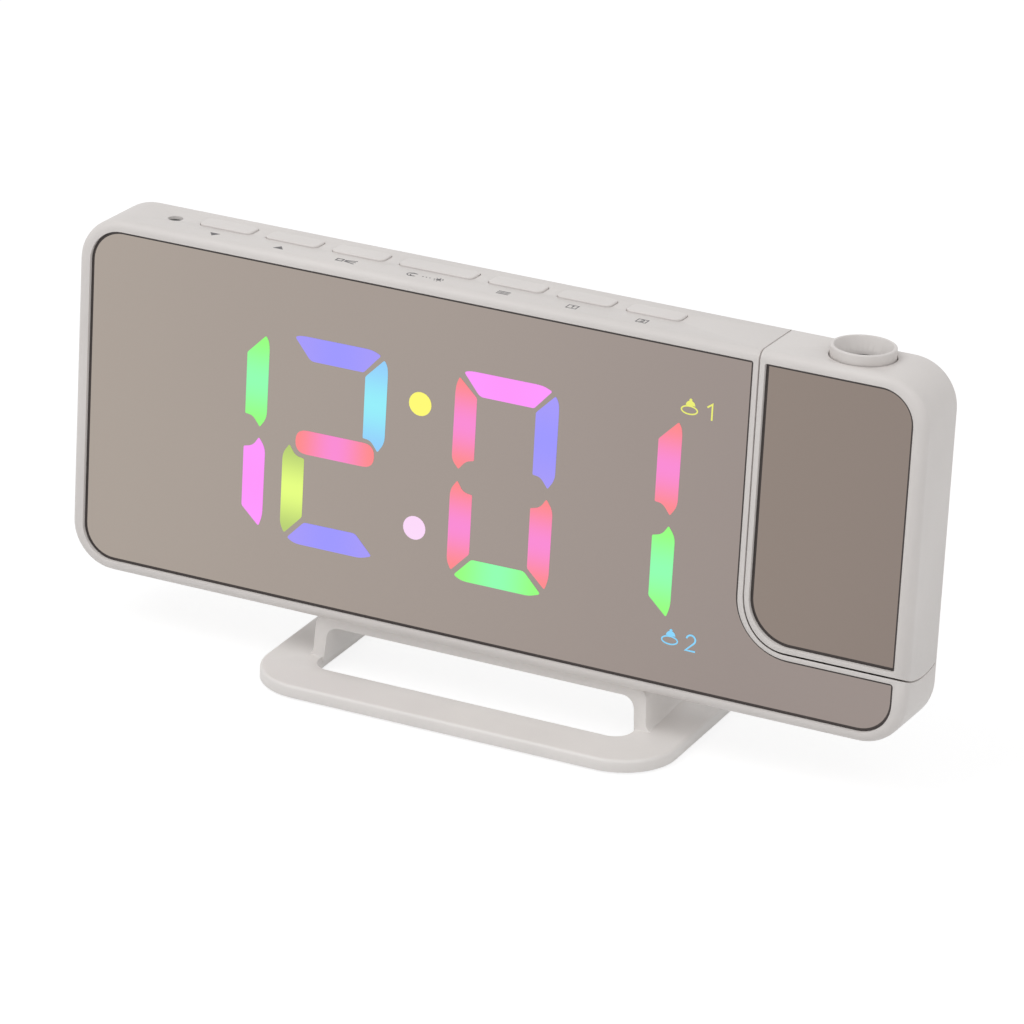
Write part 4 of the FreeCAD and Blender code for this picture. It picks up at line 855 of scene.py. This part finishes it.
class Segment(Enum):
    """The bars of a digit.

    Each is a list of corners: across from the digit's right side, up from the mirror's
    middle, and how far from the corner its rounding starts.
    """

    TOP = ((-24.1, 24.0, 0.8), (-19.8, 18.8, 1.0), (-6.2, 18.8, 0.4), (-1.9, 23.6, 0.5),
           (-4.2, 24.6, 2.0), (-22.3, 24.5, 1.4))
    UPPER_RIGHT = ((-1.0, 22.7, 0.5), (-5.7, 17.9, 0.4), (-5.7, 3.0, 0.3), (-3.7, 2.8, 1.2),
                   (-1.8, 0.3, 0.4), (-0.1, 2.8, 1.6), (0.0, 21.0, 2.4))
    LOWER_RIGHT = ((-1.9, -2.2, 0.4), (-3.4, -4.5, 1.2), (-5.8, -5.1, 0.3), (-5.8, -19.7, 0.5),
                   (-1.2, -24.0, 0.6), (-0.3, -21.2, 1.4), (-0.2, -4.6, 1.6))
    BOTTOM = ((-24.2, -25.2, 0.7), (-19.9, -20.7, 0.6), (-6.6, -20.6, 0.8), (-2.1, -25.3, 0.7),
              (-4.9, -26.3, 1.4), (-22.2, -26.3, 1.6))
    LOWER_LEFT = ((-24.4, -2.3, 0.4), (-22.8, -4.8, 1.2), (-20.5, -5.1, 0.3), (-20.5, -19.5, 0.5),
                  (-25.0, -24.2, 0.5), (-26.1, -22.1, 1.4), (-26.1, -4.7, 1.6))
    UPPER_LEFT = ((-25.1, 22.6, 0.5), (-20.5, 18.3, 0.4), (-20.5, 3.2, 0.3), (-22.5, 2.7, 1.2),
                  (-24.3, 0.5, 0.4), (-26.1, 2.5, 1.4), (-26.0, 20.2, 2.4))
    MIDDLE = ((-22.9, -4.0, 2.9), (-2.6, -3.9, 2.9), (-2.6, 1.9, 2.9), (-22.9, 1.8, 2.9))

    def level(self) -> bool:
        """Whether the bar lies across."""
        return self in (Segment.TOP, Segment.MIDDLE, Segment.BOTTOM)

    def outline(self, side: float) -> Outline:
        """The bar's outline, anticlockwise, in a digit whose right side is at side."""
        return anticlockwise(eased([(side + across, up, ease) for across, up, ease in self.value]))


@dataclass
class TimeDisplay(Assembly):
    """The lit time, colon and alarm signs, just proud of the mirror they shine through."""

    low: float = 0.015
    high: float = 0.045
    sides: tuple[float, float, float, float] = (-55.8, -25.3, 17.9, 48.3)
    colon: Triple = (-16.8, 14.1, -16.0)
    dot_radius: float = 2.85
    signs: tuple[Point, Point] = ((49.6, 26.0), (48.4, -29.3))
    stroke: float = 0.4

    def lit(self) -> list[tuple[float, Segment, Colour, Colour]]:
        """The lit bars: their digit's right side, and their colours in the middle and at the ends."""
        violet = (shade(158, 152, 255), shade(166, 155, 250))
        orchid = (shade(255, 152, 252), shade(255, 154, 255))
        coral = (shade(250, 140, 212), shade(254, 140, 142))
        leaf = (shade(146, 255, 178), shade(152, 255, 128))
        cyan = (shade(150, 238, 250), shade(148, 208, 252))
        lime = (shade(230, 255, 130), shade(184, 208, 116))
        digits = (
            {Segment.UPPER_RIGHT: leaf, Segment.LOWER_RIGHT: orchid},
            {Segment.TOP: violet, Segment.UPPER_RIGHT: cyan, Segment.MIDDLE: coral,
             Segment.LOWER_LEFT: lime, Segment.BOTTOM: violet},
            {Segment.TOP: orchid, Segment.UPPER_LEFT: coral, Segment.UPPER_RIGHT: violet,
             Segment.LOWER_LEFT: coral, Segment.LOWER_RIGHT: coral, Segment.BOTTOM: leaf},
            {Segment.UPPER_RIGHT: coral, Segment.LOWER_RIGHT: leaf},
        )
        return [(side, segment, *colours) for side, digit in zip(self.sides, digits)
                for segment, colours in digit.items()]

    def build(self) -> None:
        """Builds the lit pieces."""
        bars, dots, alarms = Shape(), Shape(), Shape()
        for side, segment, middle, end in self.lit():
            self.light(bars, segment.outline(side), middle, end, segment.level())
        self.shine(bars, "lit_time")
        across, upper, lower = self.colon
        for up, colour in ((upper, shade(255, 250, 118)), (lower, shade(252, 218, 250))):
            self.light(dots, arc(across, up, self.dot_radius, 0, 345, 23), colour, colour)
        self.shine(dots, "lit_colon")
        colours = shade(238, 240, 120), shade(140, 216, 255)
        for place, colour, digit in zip(self.signs, colours, (1, 2)):
            for outline in self.alarm_sign(digit):
                self.light(alarms, shifted(outline, *place), colour, colour)
        self.shine(alarms, "lit_alarm_signs")
        Piece.dress(self.finishes.white, "display_reflector")
        Piece.dress(self.finishes.milky, "segment_diffusers")

    def light(self, shape: Shape, outline: Outline, middle: Colour, end: Colour,
              level: bool = False) -> None:
        """Adds a lit plate and what its faces carry.

        Args:
            shape: where it is added.
            outline: its corners, anticlockwise.
            middle: the light's colour in the middle.
            end: its colour at both ends.
            level: whether the plate lies across.
        """
        along = 0 if level else 1
        reach = [corner[along] for corner in outline]
        mark = {"glow": (middle, end), "along": along, "reach": (min(reach), max(reach))}
        shape.prism(outline, self.low, self.high, mark)

    def shine(self, shape: Shape, name: str) -> None:
        """Makes a lit piece and colours it."""
        self.colour(shape.piece(name, Body.CASE, Slot.LIGHT, self.finishes.glow), shape)

    def alarm_sign(self, digit: int) -> list[Outline]:
        """An alarm bell, a dome with a knob over its rim, and the alarm's number.

        Args:
            digit: the alarm's number, 1 or 2.

        Returns:
            Outlines about the rim's middle, anticlockwise.
        """
        turns = [math.tau * step / 24 for step in range(24)]
        rim = [(1.95 * math.cos(turn), 0.95 * math.sin(turn)) for turn in turns]
        dome, knob = arc(0.2, 1.1, 1.15, 0, 180, 12), arc(0.2, 2.4, 0.36, 0, 330, 11)
        figure = [(4.3, 1.5), (5.5, 2.4), (5.5, -1.4)]
        if digit == 2:
            figure = arc(5.2, 1.2, 1.1, 170, -40, 10) + [(4.0, -1.5), (6.4, -1.5)]
        strokes = ribbon(rim, self.stroke * 0.8, True) + [dome, knob] + ribbon(figure, self.stroke)
        return [anticlockwise(outline) for outline in strokes]

    def colour(self, item: bpy.types.Object, shape: Shape) -> None:
        """Writes each bar's two colours and its lengthwise coordinate to the mesh.

        Args:
            item: the lit piece.
            shape: what it was drawn from.
        """
        mesh = item.data
        names = "glow_middle", "glow_end"
        for name in names:
            mesh.color_attributes.new(name, "FLOAT_COLOR", "CORNER")
        mesh.uv_layers.new(name="along")
        back = HEAD.matrix().inverted()
        for face, mark in zip(mesh.polygons, shape.marks):
            side = mark["along"]
            low, high = mark["reach"]
            for loop in face.loop_indices:
                point = back @ mesh.vertices[mesh.loops[loop].vertex_index].co
                for name, colour in zip(names, mark["glow"]):
                    mesh.color_attributes[name].data[loop].color = (*colour, 1)
                mesh.uv_layers["along"].data[loop].uv = ((point[side] - low) / (high - low), 0.5)


@dataclass
class KeyRow(Assembly):
    """The keys along the top, and the print in front of them."""

    names: tuple[str, ...] = ("key_down", "key_up", "key_project", "key_snooze", "key_mode",
                              "key_alarm_1", "key_alarm_2")
    print_depth: float = -3.1
    print_left: float = 0.5
    lifts: Point = (-0.01, 0.03)
    top: float = 43.3
    stroke: float = 0.34

    def build(self) -> None:
        """Builds the keys and the print."""
        for name in self.names:
            Piece.softened(name, name + "_cap", name, self.finishes.key, 0.08)
        shape = Shape()
        for name in self.names:
            low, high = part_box(name)
            middle = (low.x + high.x) / 2 / MM
            for outline in self.sign(name):
                self.stamp(shape, shifted(outline, middle - self.print_left, 0))
        Piece.outward(shape.piece("key_legends", Body.CASE, Slot.SHELL, self.finishes.ink))

    def sign(self, name: str) -> list[Outline]:
        """The strokes of a key's sign, drawn across and into the head.

        Args:
            name: the key.

        Returns:
            Convex outlines about the sign's middle.
        """
        pen, thin, hair = self.stroke, self.stroke * 0.8, self.stroke * 0.7
        if name == "key_down":
            return [[(-1.3, 0.9), (0, -1.0), (1.3, 0.9)]]
        if name == "key_up":
            return [[(-1.3, -0.9), (1.3, -0.9), (0, 1.0)]]
        if name == "key_project":
            lamp = ribbon([(-2.4, -0.7), (-0.9, -0.7), (-0.9, 0.7), (-2.4, 0.7)], pen, True)
            edges = ribbon([(-0.4, 0.3), (2.4, 1.1)], pen) + ribbon([(-0.4, -0.3), (2.4, -1.1)], pen)
            return lamp + edges + ribbon([(-0.4, 0), (2.4, 0)], thin)
        if name == "key_snooze":
            moon = ribbon(arc(-3.2, 0, 1.1, 40, 320, 12) + arc(-2.6, 0, 0.9, 300, 60, 10), hair, True)
            dots = [arc(across, 0, 0.2, 0, 300, 5) for across in (-0.4, 0.5, 1.4)]
            sun = [arc(3.6, 0, 0.6, 0, 330, 11)]
            ends = zip(arc(3.6, 0, 0.85, 0, 315, 7), arc(3.6, 0, 1.25, 0, 315, 7))
            return moon + dots + sun + [q for ray in ends for q in ribbon(ray, self.stroke * 0.6)]
        if name == "key_mode":
            return [q for up in (-0.8, 0, 0.8) for q in ribbon([(-1.5, up), (1.5, up)], pen)]
        box = ribbon([(-1.2, -1.1), (1.2, -1.1), (1.2, 1.0), (-1.2, 1.0)], hair, True)
        if name == "key_alarm_1":
            return box + ribbon([(-0.25, 0.35), (0.1, 0.6), (0.1, -0.65)], thin)
        return box + ribbon(arc(0, 0.2, 0.4, 160, -40, 6) + [(-0.4, -0.6), (0.5, -0.6)], thin)

    def stamp(self, shape: Shape, outline: Outline) -> None:
        """Adds a thin print on the casing's top, drawn across and from the front to the back."""
        first, total = len(shape.points), len(outline)
        for lift in self.lifts:
            shape.points += [HEAD.place(x, self.top + lift, self.print_depth - y) for x, y in outline]
        for start, order in ((0, 1), (total, -1)):
            shape.add([first + start + place for place in range(total)][::order])
        shape.walls(first, first + total, total)


@dataclass
class Projector(Assembly):
    """The swivelling module with its focus ring, lens and works."""

    def build(self) -> None:
        """Dresses the module."""
        shell, key = self.finishes.shell, self.finishes.key
        Piece.softened("projector_case", "projector_shell", Body.PROJECTOR, shell, 0.14)
        Piece.softened("projector_cover", "projector_cover_shell", Body.PROJECTOR, shell, 0.1)
        Piece.softened("focus_ring", "focus_ring_turned", Body.FOCUS, shell, 0.1, 30)
        Piece.softened("flip_button", "flip_button_cap", Body.FLIP, key, 0.08)
        Piece.dress(self.finishes.lens, "projection_lens", "condenser_lens")
        Piece.dress(self.finishes.slide, "lcd_slide")
        Piece.dress(self.finishes.black, "lens_cell", "optics_tunnel", "pivot_tube")
        Piece.dress(self.finishes.resin, "projector_lamp")
        Piece.dress(self.finishes.board, "lamp_board", "projector_board")
        Piece.dress(self.finishes.steel, "retaining_clip", "friction_washer")
        Piece.dress(self.finishes.white, "pivot_bush")


@dataclass
class Stand(Assembly):
    """The arched stand on its feet."""

    def build(self) -> None:
        """Dresses the stand."""
        Piece.softened("stand", "stand_arch", Body.CASE, self.finishes.stand, 0.25)
        Piece.softened("stand_feet", "stand_foot_pads", Body.CASE, self.finishes.rubber, 0.15)


# Geometry Nodes

class Forge:
    """A geometry node tree that is built in the script and turned into a plain mesh."""

    def __init__(self, name: str) -> None:
        """Starts the tree with a geometry input and output."""
        self.tree = bpy.data.node_groups.new(name, "GeometryNodeTree")
        for way in ("INPUT", "OUTPUT"):
            self.tree.interface.new_socket("Geometry", in_out=way, socket_type="NodeSocketGeometry")
        self.source = self.tree.nodes.new("NodeGroupInput")
        self.result = self.tree.nodes.new("NodeGroupOutput")
        self.sizes: dict[str, float] = {}
        self.sockets: dict[str, str] = {}

    def size(self, name: str, amount: float) -> Socket:
        """Adds a named size to the tree's inputs.

        Args:
            name: the input's name.
            amount: its value, in millimetres.

        Returns:
            The socket inside the tree.
        """
        socket = self.tree.interface.new_socket(name, in_out="INPUT", socket_type="NodeSocketFloat")
        self.sockets[name] = socket.identifier
        self.resize(name, amount)
        return self.source.outputs[name]

    def resize(self, name: str, amount: float) -> None:
        """Sets a named size, in millimetres, before the tree runs."""
        self.sizes[self.sockets[name]] = amount * MM

    def node(self, kind: str, links: dict | None = None, **settings: object) -> bpy.types.Node:
        """Adds a node.

        Args:
            kind: the node's type, without its GeometryNode prefix.
            links: sockets to link, by input name or number.
            settings: attributes, or input values by name.

        Returns:
            The node.
        """
        node = self.tree.nodes.new("GeometryNode" + kind)
        for key, setting in settings.items():
            if hasattr(node, key):
                setattr(node, key, setting)
            else:
                node.inputs[key.replace("_", " ")].default_value = setting
        for key, socket in (links or {}).items():
            self.tree.links.new(socket, node.inputs[key])
        return node

    def reckoned(self, kind: str, *parts: Socket | float, **settings: str) -> Socket:
        """What a node makes of numbers or sockets.

        Args:
            kind: the node's type, without its ShaderNode prefix.
            parts: its inputs, in order.
            settings: attributes to set.

        Returns:
            The node's first output.
        """
        node = self.tree.nodes.new("ShaderNode" + kind)
        for key, setting in settings.items():
            setattr(node, key, setting)
        for place, part in enumerate(parts):
            if isinstance(part, Socket):
                self.tree.links.new(part, node.inputs[place])
            else:
                node.inputs[place].default_value = part
        return node.outputs[0]

    def times(self, size: Socket, share: float) -> Socket:
        """A share of a size."""
        return self.reckoned("Math", size, share, operation="MULTIPLY")

    def cube(self, x: Socket, y: Socket, z: Socket) -> Socket:
        """A block about the origin."""
        return self.node("MeshCube", {"Size": self.reckoned("CombineXYZ", x, y, z)}).outputs["Mesh"]

    def tube(self, radius: Socket, depth: Socket, sides: int) -> Socket:
        """A solid cylinder about the origin, along Z."""
        links = {"Radius": radius, "Depth": depth}
        return self.node("MeshCylinder", links, Vertices=sides).outputs["Mesh"]

    def moved(self, geometry: Socket, x: Socket | float, y: Socket | float, z: Socket | float) -> Socket:
        """The geometry moved by numbers or sockets."""
        links = {"Geometry": geometry, "Translation": self.reckoned("CombineXYZ", x, y, z)}
        return self.node("Transform", links).outputs["Geometry"]

    def lifted(self, geometry: Socket, size: Socket, share: float) -> Socket:
        """The geometry moved up by a share of a size."""
        return self.moved(geometry, 0, 0, self.times(size, share))

    def together(self, *parts: Socket) -> Socket:
        """Several geometries as one."""
        node = self.node("JoinGeometry")
        for part in parts:
            self.tree.links.new(part, node.inputs[0])
        return node.outputs[0]

    def of_material(self, material: Material, *parts: Socket) -> Socket:
        """The geometries as one, with a material set."""
        geometry = self.together(*parts) if len(parts) > 1 else parts[0]
        return self.node("SetMaterial", {"Geometry": geometry}, Material=material).outputs["Geometry"]

    def on_points(self, instance: Socket) -> None:
        """Ends the tree: the instance on each point, turned by the points' turn attribute."""
        turn = self.node("InputNamedAttribute", data_type="FLOAT_VECTOR", Name="turn")
        links = {"Points": self.source.outputs["Geometry"], "Instance": instance,
                 "Rotation": turn.outputs["Attribute"]}
        spread = self.node("InstanceOnPoints", links)
        real = self.node("RealizeInstances", {"Geometry": spread.outputs["Instances"]})
        self.tree.links.new(real.outputs["Geometry"], self.result.inputs[0])

    def mesh(self, name: str, points: list[Vector], turn: Triple) -> bpy.types.Mesh:
        """Runs the tree on points and gives the plain mesh.

        Args:
            name: the mesh's name.
            points: where the instances go, in metres.
            turn: how each is turned, as Euler angles.

        Returns:
            The mesh, with the tree's materials.
        """
        seed = bpy.data.meshes.new(name + "_points")
        seed.from_pydata([tuple(p) for p in points], [], [])
        attribute = seed.attributes.new("turn", "FLOAT_VECTOR", "POINT")
        for item in attribute.data:
            item.vector = turn
        holder = bpy.data.objects.new(name + "_forge", seed)
        bpy.context.scene.collection.objects.link(holder)
        modifier = holder.modifiers.new("forge", "NODES")
        modifier.node_group = self.tree
        for identifier, amount in self.sizes.items():
            modifier[identifier] = amount
        mesh = plain_mesh(holder)
        mesh.name = name
        holder.modifiers.clear()
        bpy.data.objects.remove(holder)
        return mesh

    def stand_for(self, node: str, name: str, body: Body, way: Way, sunk: float,
                  *materials: Material) -> bpy.types.Object:
        """Makes the piece that replaces a node's solids, one instance at each solid's near end.

        Args:
            node: the solids that it stands for.
            name: the piece's name.
            body: the body it moves with.
            way: the axis that the solids point along.
            sunk: how far beyond their near ends the instances start, in millimetres.
            materials: its materials, in order.

        Returns:
            The object.
        """
        mesh = self.mesh(name, ends_of(node, way, sunk), way.turn())
        item = Piece.of_mesh(mesh, name, body, *materials)
        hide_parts(node)
        return item


@dataclass
class Fasteners(Assembly):
    """Pan-head screws with a cross recess, at the solids' own places."""

    head_radius: float = 2.55
    head_high: float = 1.15
    shank_radius: float = 1.15
    short: float = 7.6
    long: float = 9.6
    sunk: float = 0.02
    crown_radius: float = 0.72
    crown_high: float = 0.3
    disc_middle: float = 0.65
    recess: tuple[Point, Point] = ((0.96, 0.224), (0.192, 1.12))
    recess_deep: float = 0.9
    head_sides: int = 40
    shank_sides: int = 24
    fold: float = math.radians(32)

    def forge(self) -> Forge:
        """The tree of one screw, which points along +Z with its head below."""
        forge = Forge("screw_tree")
        head = forge.size("Head radius", self.head_radius)
        high = forge.size("Head height", self.head_high)
        shank = forge.size("Shank radius", self.shank_radius)
        length = forge.size("Length", self.short)
        disc = forge.lifted(forge.tube(head, high, self.head_sides), high, self.disc_middle)
        taper = {"Radius Bottom": head, "Radius Top": forge.times(head, self.crown_radius),
                 "Depth": forge.times(high, self.crown_high)}
        crown = forge.node("MeshCone", taper, Vertices=self.head_sides).outputs["Mesh"]
        over = forge.node("Transform", {"Geometry": crown}, Rotation=(math.pi, 0, 0))
        dome = forge.lifted(over.outputs["Geometry"], high, self.crown_high)
        rod = forge.lifted(forge.tube(shank, length, self.shank_sides), length, 0.5)
        slots = [forge.cube(forge.times(head, across), forge.times(head, along),
                            forge.times(high, self.recess_deep)) for across, along in self.recess]
        links = {"Mesh 1": forge.together(disc, dome, rod), "Mesh 2": forge.together(*slots)}
        cut = forge.node("MeshBoolean", links, operation="DIFFERENCE", solver="EXACT",
                         Self_Intersection=True)
        forge.on_points(forge.of_material(self.finishes.steel, cut.outputs["Mesh"]))
        return forge

    def build(self) -> None:
        """Puts the screws in their places."""
        forge = self.forge()
        for node, body, way, length in (("rear_screws", Body.CASE, Way.PROUD, self.short),
                                        ("projector_screws", Body.PROJECTOR, Way.PROUD, self.short),
                                        ("stand_screws", Body.CASE, Way.UP, self.long)):
            forge.resize("Length", length)
            item = forge.stand_for(node, node + "_set", body, way, self.sunk, self.finishes.steel)
            item.data.polygons.foreach_set("use_smooth", [True] * len(item.data.polygons))
            item.data.set_sharp_from_angle(angle=self.fold)


@dataclass
class Chips(Assembly):
    """Light-emitting chips behind the display: a white body with a phosphor window and two pads.

    The shares are of the side across and of the height upwards.
    """

    side: float = 2.75
    high: float = 0.95
    sunk: float = 0.01
    body: float = 0.86
    window: Triple = (0.34, 0.1, 0.96)
    window_sides: int = 20
    pad: Triple = (0.1, 0.6, 0.4)
    pad_place: Point = (0.45, 0.2)

    def build(self) -> None:
        """Puts one chip at each solid's place."""
        white, resin, steel = self.finishes.white, self.finishes.resin, self.finishes.steel
        forge = Forge("chip_tree")
        side = forge.size("Side", self.side)
        high = forge.size("Height", self.high)
        body = forge.lifted(forge.cube(forge.times(side, self.body), side, high), high, 0.5)
        radius, depth, middle = self.window
        bowl = forge.tube(forge.times(side, radius), forge.times(high, depth), self.window_sides)
        window = forge.lifted(bowl, high, middle)
        pads = []
        for way in (-1, 1):
            wide, deep, tall = self.pad
            pad = forge.cube(forge.times(side, wide), forge.times(side, deep), forge.times(high, tall))
            across, up = self.pad_place
            pads.append(forge.moved(pad, forge.times(side, across * way), 0, forge.times(high, up)))
        forge.on_points(forge.together(forge.of_material(white, body), forge.of_material(resin, window),
                                       forge.of_material(steel, *pads)))
        forge.stand_for("display_leds", "display_chips", Body.CASE, Way.PROUD, self.sunk,
                        white, resin, steel)


@dataclass
class Switches(Assembly):
    """Press switches under the keys: a black body, a steel frame on it and a round plunger.

    The shares are of the side across and of the body's height upwards.
    """

    side: float = 5.9
    high: float = 3.3
    plunger: float = 0.75
    sunk: float = 0.02
    body: float = 0.9
    lid: Triple = (0.97, 0.1, 0.95)
    rivet: Triple = (0.06, 0.05, 1.01)
    rivet_place: float = 0.38
    rivet_sides: int = 12
    rod: float = 0.26
    rod_sides: int = 28

    def build(self) -> None:
        """Puts one switch under each key."""
        black, steel = self.finishes.black, self.finishes.steel
        forge = Forge("switch_tree")
        side = forge.size("Side", self.side)
        high = forge.size("Body height", self.high)
        plunger = forge.size("Plunger height", self.plunger)
        body = forge.cube(side, side, forge.times(high, self.body))
        base = forge.lifted(body, high, self.body / 2)
        wide, thick, middle = self.lid
        lid = forge.cube(forge.times(side, wide), forge.times(side, wide), forge.times(high, thick))
        cover = forge.lifted(lid, high, middle)
        rivets = []
        radius, thick, middle = self.rivet
        for x, y in ((-1, -1), (-1, 1), (1, -1), (1, 1)):
            stud = forge.tube(forge.times(side, radius), forge.times(high, thick), self.rivet_sides)
            across, along = (forge.times(side, self.rivet_place * way) for way in (x, y))
            rivets.append(forge.moved(stud, across, along, forge.times(high, middle)))
        rod = forge.tube(forge.times(side, self.rod), plunger, self.rod_sides)
        top = forge.reckoned("Math", high, forge.times(plunger, 0.5), operation="ADD")
        post = forge.moved(rod, 0, 0, top)
        forge.on_points(forge.together(forge.of_material(black, base), forge.of_material(steel, cover),
                                       forge.of_material(black, *rivets), forge.of_material(black, post)))
        forge.stand_for("key_switches", "key_switch_set", Body.CASE, Way.UP, self.sunk, black, steel)
        Piece.dress(black, "flip_switch")


# Studio

@dataclass
class Studio:
    """Pale floor, soft light and the camera at the photograph's angle."""

    azimuth: float = 0.43934
    elevation: float = 0.35216
    roll: float = 0.0525
    distance: float = 1342.36
    focal: float = 5917.84
    shift: Point = (0.02786, -0.03463)
    picture: int = 1024
    sensor: float = 36.0
    floor_reach: float = 6.0
    floor_grey: Point = (0.8, 0.81)
    floor_glow: float = 0.8
    floor_shade: float = 0.3
    sky: float = 0.6
    aim: Triple = (0, 0, 0.05)

    def build(self) -> None:
        """Builds the floor, the lights and the camera."""
        self.floor()
        self.light()
        self.camera()

    def floor(self) -> None:
        """A white floor that keeps a soft shadow."""
        mesh = bpy.data.meshes.new("floor")
        far = self.floor_reach
        sides = [(-far, -far, 0), (far, -far, 0), (far, far, 0), (-far, far, 0)]
        mesh.from_pydata(sides, [], [(0, 1, 2, 3)])
        item = bpy.data.objects.new("floor", mesh)
        bpy.context.scene.collection.objects.link(item)
        wiring = Wiring("floor_paper")
        low, high = self.floor_grey
        wiring.tint(wiring.noise(3.0), ((low, low, low), (high, high, high)), MIDDLING)
        wiring.set(Roughness=0.9)
        glow = wiring.node("Emission", Strength=self.floor_glow, Color=(1, 1, 1, 1))
        lit = wiring.node("BsdfDiffuse", Color=(*[self.floor_shade] * 3, 1))
        add = wiring.node("AddShader")
        wiring.join(glow.outputs["Emission"], add.inputs[0])
        wiring.join(lit.outputs["BSDF"], add.inputs[1])
        mix = wiring.node("MixShader")
        wiring.join(seen_straight(wiring.tree), mix.inputs["Fac"])
        wiring.join(wiring.shader.outputs["BSDF"], mix.inputs[1])
        wiring.join(add.outputs["Shader"], mix.inputs[2])
        wiring.join(mix.outputs["Shader"], wiring.tree.nodes["Material Output"].inputs["Surface"])
        mesh.materials.append(wiring.material)
        item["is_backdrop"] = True

    def light(self) -> None:
        """An even sky, which looks white to the camera, and two large soft lamps."""
        world = bpy.data.worlds.new("studio")
        world.use_nodes = True
        bpy.context.scene.world = world
        tree = world.node_tree
        sky = tree.nodes["Background"]
        seen = tree.nodes.new("ShaderNodeBackground")
        for node, strength in ((sky, self.sky), (seen, 1.0)):
            node.inputs["Color"].default_value = (1, 1, 1, 1)
            node.inputs["Strength"].default_value = strength
        mix = tree.nodes.new("ShaderNodeMixShader")
        tree.links.new(seen_straight(tree), mix.inputs["Fac"])
        tree.links.new(sky.outputs[0], mix.inputs[1])
        tree.links.new(seen.outputs[0], mix.inputs[2])
        tree.links.new(mix.outputs[0], tree.nodes["World Output"].inputs["Surface"])
        self.lamp("key_lamp", Vector((-0.5, -0.6, 1.15)), 0.9, 5.2)
        self.lamp("fill_lamp", Vector((0.75, -0.5, 0.9)), 0.9, 1.8)

    def lamp(self, name: str, place: Vector, side: float, power: float) -> None:
        """A square soft lamp that faces the clock.

        Args:
            name: the lamp's name.
            place: where it stands, in metres.
            side: its side.
            power: its power in watts.
        """
        data = bpy.data.lights.new(name, "AREA")
        data.size = side
        data.energy = power
        lamp = bpy.data.objects.new(name, data)
        bpy.context.scene.collection.objects.link(lamp)
        turn = (Vector(self.aim) - place).to_track_quat("-Z", "Y")
        lamp.matrix_world = Matrix.Translation(place) @ turn.to_matrix().to_4x4()

    def camera(self) -> None:
        """A camera fitted to the photograph's perspective."""
        az, el, roll = self.azimuth, self.elevation, self.roll
        back = Vector((math.sin(az) * math.cos(el), -math.cos(az) * math.cos(el), math.sin(el)))
        level = Vector((math.cos(az), math.sin(az), 0))
        over = back.cross(level)
        right = level * math.cos(roll) + over * math.sin(roll)
        top = over * math.cos(roll) - level * math.sin(roll)
        axes = [HEAD.turned(*axis) for axis in (right, top, back)]
        place = HEAD.place(0, 0, 0) + axes[2] * self.distance * MM
        rows = [[axes[column][row] for column in range(3)] + [place[row]] for row in range(3)]
        data = bpy.data.cameras.new("camera")
        data.sensor_width = self.sensor
        data.lens = self.focal / self.picture * self.sensor
        data.shift_x, data.shift_y = self.shift
        data.clip_end = 30.0
        item = bpy.data.objects.new("camera", data)
        bpy.context.scene.collection.objects.link(item)
        item.matrix_world = Matrix(rows + [[0, 0, 0, 1]])
        bpy.context.scene.camera = item


def corners(box: object) -> list[list[float]]:
    """A box's corners as plain lists."""
    return [[float(part) for part in corner] for corner in box]


def main() -> None:
    """Builds the clock's looks, one sub-assembly after another."""
    logging.basicConfig(level=logging.INFO, format="%(name)s %(message)s")
    before = corners(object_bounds())
    bpy.context.scene.view_settings.view_transform = "Standard"
    finishes = Finishes()
    for kind in (Casing, MirrorFace, TimeDisplay, KeyRow, Projector, Stand, Fasteners, Chips, Switches):
        kind(finishes).build()
        log.info("%s built", kind.__name__)
    Studio().build()
    {"cad": before, "visual": corners(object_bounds())}


if __name__ == "__main__":
    main()
